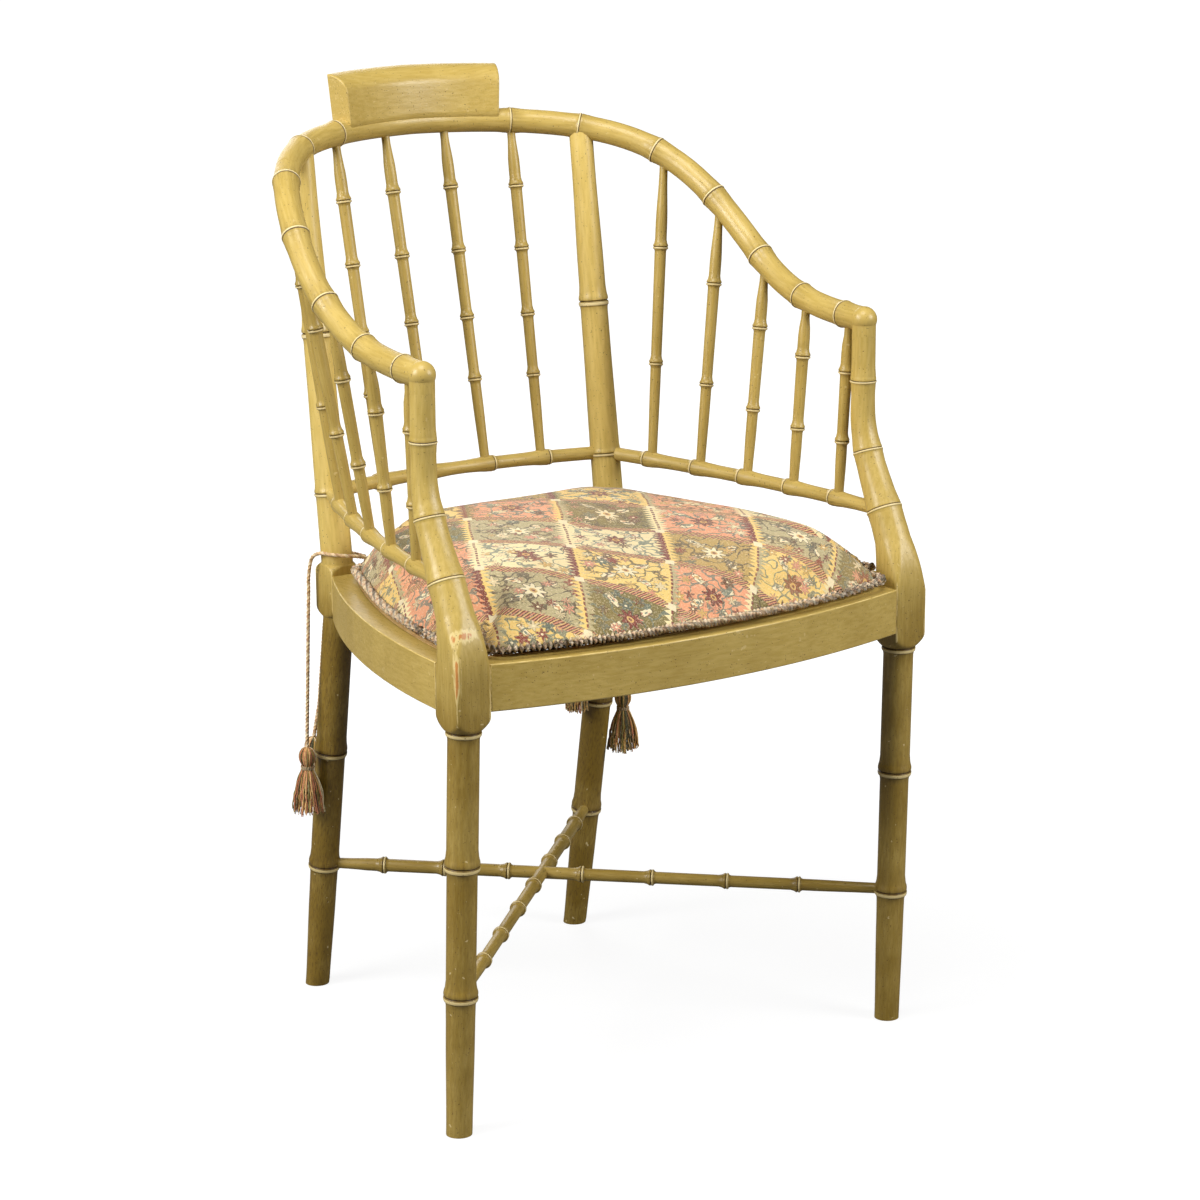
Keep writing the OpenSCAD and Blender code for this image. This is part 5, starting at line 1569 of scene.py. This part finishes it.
def bands_on(tree, get, color, number, near, run):
    op, both, less = sums(tree)
    slant = op("FRACT", op("DIVIDE", op("ADD", near[1], run[0]), HATCH_PITCH))
    hatch = choices(tree, slant, HATCH_TONES)
    color = mixed(tree, color, hatch, less(op("ABSOLUTE", near[1]), get["Hatch"]))
    teeth = op("DIVIDE", op("PINGPONG", run[1], TOOTH_PITCH / 2), TOOTH_PITCH / 2)
    wide = both(get["Band"], op("MULTIPLY_ADD", teeth, 1.05, 0.35))
    edge = op("FLOOR", op("ADD", op("DIVIDE", run[0], GRID_ACROSS.length), 0.5))
    turns = op("FRACT", both(op("ADD", edge, number[1]), 0.37))
    left = choices(tree, turns, [GROUNDS["cream"], tone(132, 48, 44), GROUNDS["gold"],
                                 GROUNDS["slate"]])
    right = choices(tree, op("FRACT", op("ADD", turns, 0.4)),
                    [GROUNDS["slate"], GROUNDS["cream"], GROUNDS["olive"], GROUNDS["gold"]])
    toothed = mixed(tree, left, right, op("GREATER_THAN", near[0], 0.0))
    color = mixed(tree, color, toothed, less(op("ABSOLUTE", near[0]), wide))
    dashes = both(less(op("ABSOLUTE", near[0]), 0.0011),
                  less(op("FRACT", op("DIVIDE", run[1], TOOTH_PITCH)), 0.66))
    color = mixed(tree, color, get["Madder"], dashes)
    square = both(less(op("ABSOLUTE", near[0]), 0.0040), less(op("ABSOLUTE", near[1]), 0.0044))
    return mixed(tree, color, get["Cream"], square)


print("bands are hatched with", len(HATCH_TONES), "yarns")

# %% [markdown]
# Last come the yarns. Ribs of the weave give the height, wisps and knots let other yarns show
# through, and a slow cloud yellows the cloth where it has been sat on and has faded.

# %% The yarns, and the whole cloth
RIB_PITCH, PICK_PITCH = 0.0016, 0.0013


def woven(tree, get, color, flat):
    """The colour with its flecks, the roughness and the height of the weave."""
    op, both, less = sums(tree)
    split = add(tree, "ShaderNodeSeparateXYZ", {"Vector": flat}).outputs
    ribs = op("SINE", both(op("ADD", split["X"], split["Y"]), 2 * math.pi / RIB_PITCH))
    picks = op("SINE", both(op("SUBTRACT", split["X"], split["Y"]), 2 * math.pi / PICK_PITCH))
    wisps = cloud(tree, flat, 1300.0, 1.0)
    color = mixed(tree, color, get["Dark"], spread(tree, wisps, 0.56, 0.72, 0.0, 0.24))
    color = mixed(tree, color, get["Cream"], spread(tree, wisps, 0.46, 0.30, 0.0, 0.38))
    knots = cloud(tree, flat, 520.0, 2.0)
    color = mixed(tree, color, get["Dark"], spread(tree, knots, 0.56, 0.68, 0.0, 0.14))
    color = mixed(tree, color, get["Cream"], spread(tree, knots, 0.46, 0.34, 0.0, 0.4))
    tired = cloud(tree, flat, 11.0, 2.0)
    color = mixed(tree, color, get["Gold"], spread(tree, tired, 0.45, 0.75, 0.0, 0.22))
    relief = op("ADD", both(both(ribs, picks), 0.3), both(wisps, 0.9))
    return color, op("MULTIPLY_ADD", wisps, 0.1, 0.82), relief


def tapestry_group():
    tree, given, made = new_group(
        "tapestry_patches", "ShaderNodeTree",
        [("Cream", "Color", tone(254, 238, 196)), ("Madder", "Color", tone(136, 52, 42)),
         ("Pink", "Color", tone(222, 148, 122)), ("Gold", "Color", tone(226, 182, 104)),
         ("Teal", "Color", tone(112, 124, 110)), ("Dark", "Color", tone(84, 66, 46)),
         ("Band", "Float", 0.0062), ("Hatch", "Float", 0.0048)],
        [("Color", "Color"), ("Roughness", "Float"), ("Height", "Float")],
    )
    get = given.outputs
    flat = carried(tree, "cloth", "Vector")
    cloth = wavering(tree, flat)
    number, near, run, inner = patch_places(tree, cloth)
    color, pick, dark_ground = ground_of(tree, number)
    light = mixed(tree, get["Madder"], get["Cream"], dark_ground)
    share = math_node(tree, "FRACT", math_node(tree, "MULTIPLY", pick, 7.0))
    other = mixed(tree, get["Pink"], get["Gold"], share)
    color = leaves_on(tree, get, color, cloth, inner, other)
    color = stems_on(tree, get, color, cloth, dark_ground)
    color = blooms_on(tree, get, color, cloth)
    color = middle_flower_on(tree, get, color, inner, light)
    color = bands_on(tree, get, color, number, near, run)
    for place, value in enumerate(woven(tree, get, color, flat)):
        tree.links.new(value, made.inputs[place])
    return tree


tapestry_patches = tapestry_group()
tapestry = dressed(surface("tapestry_cover", Sheen_Weight=0.25, Sheen_Roughness=0.4),
                   tapestry_patches, 0.0005)
print("tapestry group has", len(tapestry_patches.nodes), "nodes")

# %% [markdown]
# Piping, ties and tassels are spun from the same yarns, so one group gives them all their flecks
# and hairs. Each material picks its own strand colours first, from the ply or the thread that its
# points carry.

# %% Yarns for the piping, the ties and the tassels
FLECK_TONES = [tone(240, 216, 176), tone(168, 84, 64), tone(126, 118, 84), tone(232, 176, 142),
               tone(130, 102, 72), tone(196, 160, 112)]


def yarn_group():
    tree, given, made = new_group(
        "spun_yarn", "ShaderNodeTree",
        [("Strand", "Color", tone(240, 216, 176)), ("Flecked", "Float", 0.25),
         ("Hair", "Color", tone(70, 50, 32)), ("Fine", "Float", 420.0)],
        [("Color", "Color"), ("Height", "Float")],
    )
    get, place = given.outputs, object_place(tree)
    cells = add(tree, "ShaderNodeTexVoronoi", {"Vector": place, "Scale": get["Fine"]})
    hue = add(tree, "ShaderNodeSeparateXYZ", {"Vector": cells.outputs["Color"]}).outputs["X"]
    flecked = mixed(tree, get["Strand"], choices(tree, hue, FLECK_TONES), get["Flecked"])
    hairs = cloud(tree, place, 1600.0, 2.0)
    color = mixed(tree, flecked, get["Hair"], spread(tree, hairs, 0.52, 0.75, 0.0, 0.25))
    tree.links.new(color, made.inputs["Color"])
    tree.links.new(hairs, made.inputs["Height"])
    return tree


def yarn(name, mark, shades, flecked):
    """A thread whose strands are picked by what each point carries."""
    made = surface(name, Roughness=0.85, Sheen_Weight=0.25)
    strand = choices(made[1], carried(made[1], mark), shades)
    return dressed(made, spun_yarn, 0.0005, Strand=strand, Flecked=flecked)


spun_yarn = yarn_group()
welt_yarn = yarn("piping_yarn", "ply",
                 [tone(255, 238, 204), tone(206, 176, 134), tone(252, 222, 182)], 0.34)
yarn("tie_thread", "ply", [tone(240, 204, 148), tone(255, 232, 186), tone(198, 158, 108)], 0.25)
yarn("tassel_thread", "tint", [tone(236, 196, 122), tone(255, 240, 196), tone(204, 128, 84),
                               tone(128, 118, 44), tone(222, 176, 96), tone(74, 78, 44)], 0.08)
print("yarn group has", len(spun_yarn.nodes), "nodes")

# %% [markdown]
# ## The cushion, filled
# A seat pad like this is two shaped panels sewn together over a soft filling, so it is thick in
# the middle and thin at the piped edge. A smaller pad is modelled first. Then a cloth simulation
# blows it up from inside: the cover stretches as a real one does, and each point may only move a
# little. The edge line comes from the measured cushion, so that it clears the legs.

# %% The measured edge of the cushion
WELT_R = 0.0043
SEAM_RISE = 0.0085
EDGE_RISE, EDGE_BAND = 0.01035, 0.0003
LEFT_SPILL = 0.005  # the cushion has slipped a little to the left
SEAT_TOP = CORNER.z
CUSHION_MID = Vector((0, (DEPTH * 0.46 - LEG_LINE) / 1000))


def measured_edge():
    """Direction and distance of the measured cushion's edge, seen from its middle."""
    level = SEAT_TOP + EDGE_RISE
    seen = {}
    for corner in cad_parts["cushion"].data.vertices:
        if abs(corner.co.z - level) < EDGE_BAND:
            arm = corner.co.xy - CUSHION_MID
            seen[round(math.atan2(arm.y, arm.x), 3)] = arm.length
    return sorted(seen.items())


EDGE = measured_edge()


def edge_reach(angle):
    """How far the edge lies from the middle in this direction."""
    angle = math.atan2(math.sin(angle), math.cos(angle))
    last, turn = EDGE[-1], 2 * math.pi
    spill = LEFT_SPILL * bell(abs(angle), math.pi, 0.4)
    for a, b in zip([(last[0] - turn, last[1]), *EDGE], [*EDGE, (EDGE[0][0] + turn, EDGE[0][1])]):
        if a[0] <= angle <= b[0]:
            return spill + a[1] + (b[1] - a[1]) * (angle - a[0]) / max(b[0] - a[0], 1e-6)
    return spill + last[1]


def edge_point(angle, share, z):
    """A point at this share of the way from the middle to the edge."""
    reach = edge_reach(angle) * share
    return Vector((CUSHION_MID.x + reach * math.cos(angle),
                   CUSHION_MID.y + reach * math.sin(angle), z))


print("the edge is known at", len(EDGE), "places")

# %% [markdown]
# The small pad is a loft of rings, lower in front and fuller at the back, as the real one is after
# years of use. A remesh gives it even, square faces, because cloth behaves best on those. The
# simulation only has to be a short one, and no point may move further than the cap.

# %% A small pad, then air
PAD_RISE = 0.049
AROUND = 140
CLOTH_CELL = 0.005
PRESSURE, BREATHS, FURTHEST = 4.0, 20, 0.008
SEAM_HOLD, SEAM_BAND = 0.85, 0.005


def pad_height(angle, share):
    back = 0.5 + 0.5 * math.sin(angle)
    full = max(back, math.cos(angle) ** 2)
    rise = PAD_RISE * (0.84 + 0.18 * back)
    return SEAT_TOP + 0.011 + rise * (1 - share ** (2.6 + 1.6 * full)) ** (0.78 - 0.18 * full)


def small_pad():
    angles = [2 * math.pi * j / AROUND for j in range(AROUND)]
    profile = [(0.90, 0.0012), (0.955, 0.004), (0.974, SEAM_RISE)]
    rings = [[edge_point(a, share, SEAT_TOP + z) for a in angles] for share, z in profile]
    for share in (0.970, 0.955, 0.93, 0.89, 0.84, 0.77, 0.68, 0.56, 0.42, 0.26, 0.1):
        rings.append([edge_point(a, share, pad_height(a, share / 0.98)) for a in angles])
    return loft("cushion_pad", rings)


def modified(thing, kind, **options):
    step = thing.modifiers.new("step", kind)
    for key, value in options.items():
        setattr(step, key, value)
    return keep_result(thing, step)


def blown(thing, pressure, frames, cap):
    """Fills a closed pad with air, and lets no point move further than the cap."""
    before = [corner.co.copy() for corner in thing.data.vertices]
    air = thing.modifiers.new("air", "CLOTH")
    air.settings.use_pressure = True
    air.settings.uniform_pressure_force = pressure
    air.settings.effector_weights.gravity = 0
    for number in range(1, frames + 1):
        bpy.context.scene.frame_set(number)
    keep_result(thing, air)
    bpy.context.scene.frame_set(1)
    furthest = 0
    for corner, old in zip(thing.data.vertices, before):
        step = corner.co - old
        furthest = max(furthest, step.length)
        seam = 1 - SEAM_HOLD * bell(old.z, SEAT_TOP + SEAM_RISE, SEAM_BAND)
        corner.co = old + step * min(1, cap * seam / max(step.length, 1e-9))
    print("the cover moved up to", round(furthest * 1000, 1), "mm before the cap")
    return thing


pad = modified(small_pad(), "REMESH", mode="VOXEL", voxel_size=CLOTH_CELL)
pad = blown(pad, PRESSURE, BREATHS, FURTHEST)
pad = modified(pad, "SUBSURF", levels=1, render_levels=1)
print("cushion has", len(pad.data.polygons), "faces")

# %% [markdown]
# Sewing adds what air can't: small pleats where the cover is gathered into the piping, deeper on
# the left side, and a few pinched folds. Each point first gets its place in the flat cloth, so
# that the pattern dips into pleats and folds with it.

# %% Pleats, folds and flat coordinates
FOLDS = ((-0.60, 0.005), (-2.52, 0.0035), (2.95, 0.002), (-1.05, 0.0015))
PLEAT_WIDTH, PLEAT_RING = 0.019, 0.2
SIDE_HEIGHT, SIDE_SLIDE = 0.05, 0.7


def flat_places(mesh):
    """Each point's place in the flat cloth: further out, the lower it lies on the side."""
    flat = []
    for corner in mesh.vertices:
        outward = (corner.co.xy - CUSHION_MID).normalized()
        slide = outward * max(0, SEAT_TOP + SIDE_HEIGHT - corner.co.z) * SIDE_SLIDE
        flat += [corner.co.x + slide.x, corner.co.y + slide.y, 0.0]
    return flat


def pleat_rise(angle, share):
    """How far a small pleat lifts the cover just inside the piping."""
    walk = angle * PLEAT_RING
    wander = noise.noise(Vector((walk * 22, 3.1, 0.7)))
    left_side = bell(abs(angle), math.pi, 0.55)
    deep = 0.0006 + 0.0012 * left_side + 0.0007 * abs(noise.noise(Vector((walk * 9, 0.4, 5.2))))
    return deep * math.sin(2 * math.pi * (walk / PLEAT_WIDTH + 1.3 * wander)) * bell(share, 0.93, 0.05)


def fold_drop(angle, share, reach):
    """How far the pinched folds pull the cover down."""
    drop_by = 0
    for fold_at, depth in FOLDS:
        off = (angle - fold_at + 0.10 * (1 - share)) * reach
        drop_by += depth * bell(off, 0, 0.004) * ease((share - 0.72) / 0.2)
    return drop_by


def sewn(mesh):
    flat = flat_places(mesh)
    for corner in mesh.vertices:
        arm = corner.co.xy - CUSHION_MID
        angle = math.atan2(arm.y, arm.x)
        share = arm.length / edge_reach(angle)
        above = ease((corner.co.z - SEAT_TOP - 0.012) / 0.008)
        lumps = 0.0012 * noise.noise(Vector((corner.co.x * 14, corner.co.y * 14, 1.7)))
        rise = pleat_rise(angle, share) - fold_drop(angle, share, arm.length) + lumps
        corner.co.z = max(corner.co.z + rise * above, SEAT_TOP + 0.0002)
    mesh.attributes.new("cloth", "FLOAT_VECTOR", "POINT").data.foreach_set("vector", flat)
    for face in mesh.polygons:
        face.use_smooth = True


sewn(pad.data)
pad.data.materials.clear()
pad.data.materials.append(tapestry)
cover = link(bpy.data.objects.new("tapestry_cushion", pad.data))
bpy.data.objects.remove(pad)
print("the cover has", len(FOLDS), "folds")

# %% [markdown]
# The piping is a thick cord sewn into the seam all round. It is the tie's own tree on a closed
# line, with more turns in each metre, and it rises and falls a little where the seam is slack.

# %% The twisted piping
PIPING_STEPS, PIPING_RISE, PIPING_TURNS = 360, 0.0092, 105.0


def piping_line():
    places = []
    for j in range(PIPING_STEPS):
        angle = 2 * math.pi * j / PIPING_STEPS
        point = edge_point(angle, 1 - WELT_R / edge_reach(angle), SEAT_TOP + PIPING_RISE)
        lift = noise.noise(Vector((math.cos(angle) * 3, math.sin(angle) * 3, 2.2)))
        places.append(point + Vector((0, 0, 0.0016 * lift)))
    return places


loop = bpy.data.meshes.new("twisted_piping")
loop.from_pydata(piping_line(), [(i, (i + 1) % PIPING_STEPS) for i in range(PIPING_STEPS)], [])
piping = link(bpy.data.objects.new("twisted_piping", loop))
grow(piping, laid_cord, thread=welt_yarn, thickness=2 * WELT_R, turns_per_metre=PIPING_TURNS)
for part in (cover, piping):
    finished(part, "cushion")
print("piping has", len(piping.data.polygons), "faces")

# %% [markdown]
# ## Studio
# The photograph has a plain white ground and soft shadows. Two large soft lamps light the chair
# from its left and from the front right, a third hangs overhead and a weak one fills the back.
# Camera rays see a floor and a sky that are already near white, while the light that reaches the
# chair stays low, so that the undersides keep their depth.

# %% Floor and light
SKY = 0.035
FLOOR_GREY, FLOOR_NEAR, FLOOR_FAR = 0.14, 0.86, 1.08


def lamp(name, place, aim_height, size, watts):
    """A round soft lamp that faces the chair's middle at this height."""
    light = bpy.data.lights.new(name, "AREA")
    light.shape, light.size, light.energy = "DISK", size, watts
    holder = link(bpy.data.objects.new(name, light))
    holder.location = place
    aim = Vector((0, 0, aim_height)) - Vector(place)
    holder.rotation_euler = aim.to_track_quat("-Z", "Y").to_euler()


def studio_sky():
    world = bpy.data.worlds.new("studio")
    bpy.context.scene.world = world
    world.use_nodes = True
    tree = world.node_tree
    glow = tree.nodes["Background"]
    seen = add(tree, "ShaderNodeLightPath").outputs["Is Camera Ray"]
    level = add(tree, "ShaderNodeMapRange", {"Value": seen, "To Min": SKY, "To Max": 1.0})
    tree.links.new(level.outputs[0], glow.inputs["Strength"])
    glow.inputs["Color"].default_value = (1.0, 1.0, 1.0, 1.0)


def studio_floor():
    sheet = bmesh.new()
    bmesh.ops.create_grid(sheet, x_segments=8, y_segments=8, size=40)
    mesh = bpy.data.meshes.new("floor")
    sheet.to_mesh(mesh)
    sheet.free()
    floor = link(bpy.data.objects.new("floor", mesh))
    grey = (FLOOR_GREY, FLOOR_GREY, FLOOR_GREY, 1)
    material, tree, shader = surface("pale_floor", Roughness=0.8, Base_Color=grey)
    shader.inputs["Emission Color"].default_value = (1, 1, 1, 1)
    seen = add(tree, "ShaderNodeLightPath").outputs["Is Camera Ray"]
    # the floor glows for camera rays only, and less near the chair: painted shade round the chair, so
    # that the lamps' real shadows still show there
    away = add(tree, "ShaderNodeVectorMath", {0: object_place(tree)}, operation="LENGTH")
    level = spread(tree, away.outputs["Value"], 0.4, 1.4, FLOOR_NEAR, FLOOR_FAR)
    tree.links.new(math_node(tree, "MULTIPLY", seen, level), shader.inputs["Emission Strength"])
    mesh.materials.append(material)


studio_sky()
studio_floor()
lamp("left_softbox", (-2.7, 0.2, 1.9), 0.5, 1.7, 92)
lamp("right_softbox", (1.7, -2.7, 1.9), 0.5, 1.7, 80)
lamp("back_fill", (0.9, 2.9, 1.5), 0.5, 2.0, 20)
lamp("top_softbox", (-0.7, -0.7, 3.1), 0.6, 1.5, 48)
bpy.context.scene.view_settings.view_transform = "Standard"
print("studio lit")
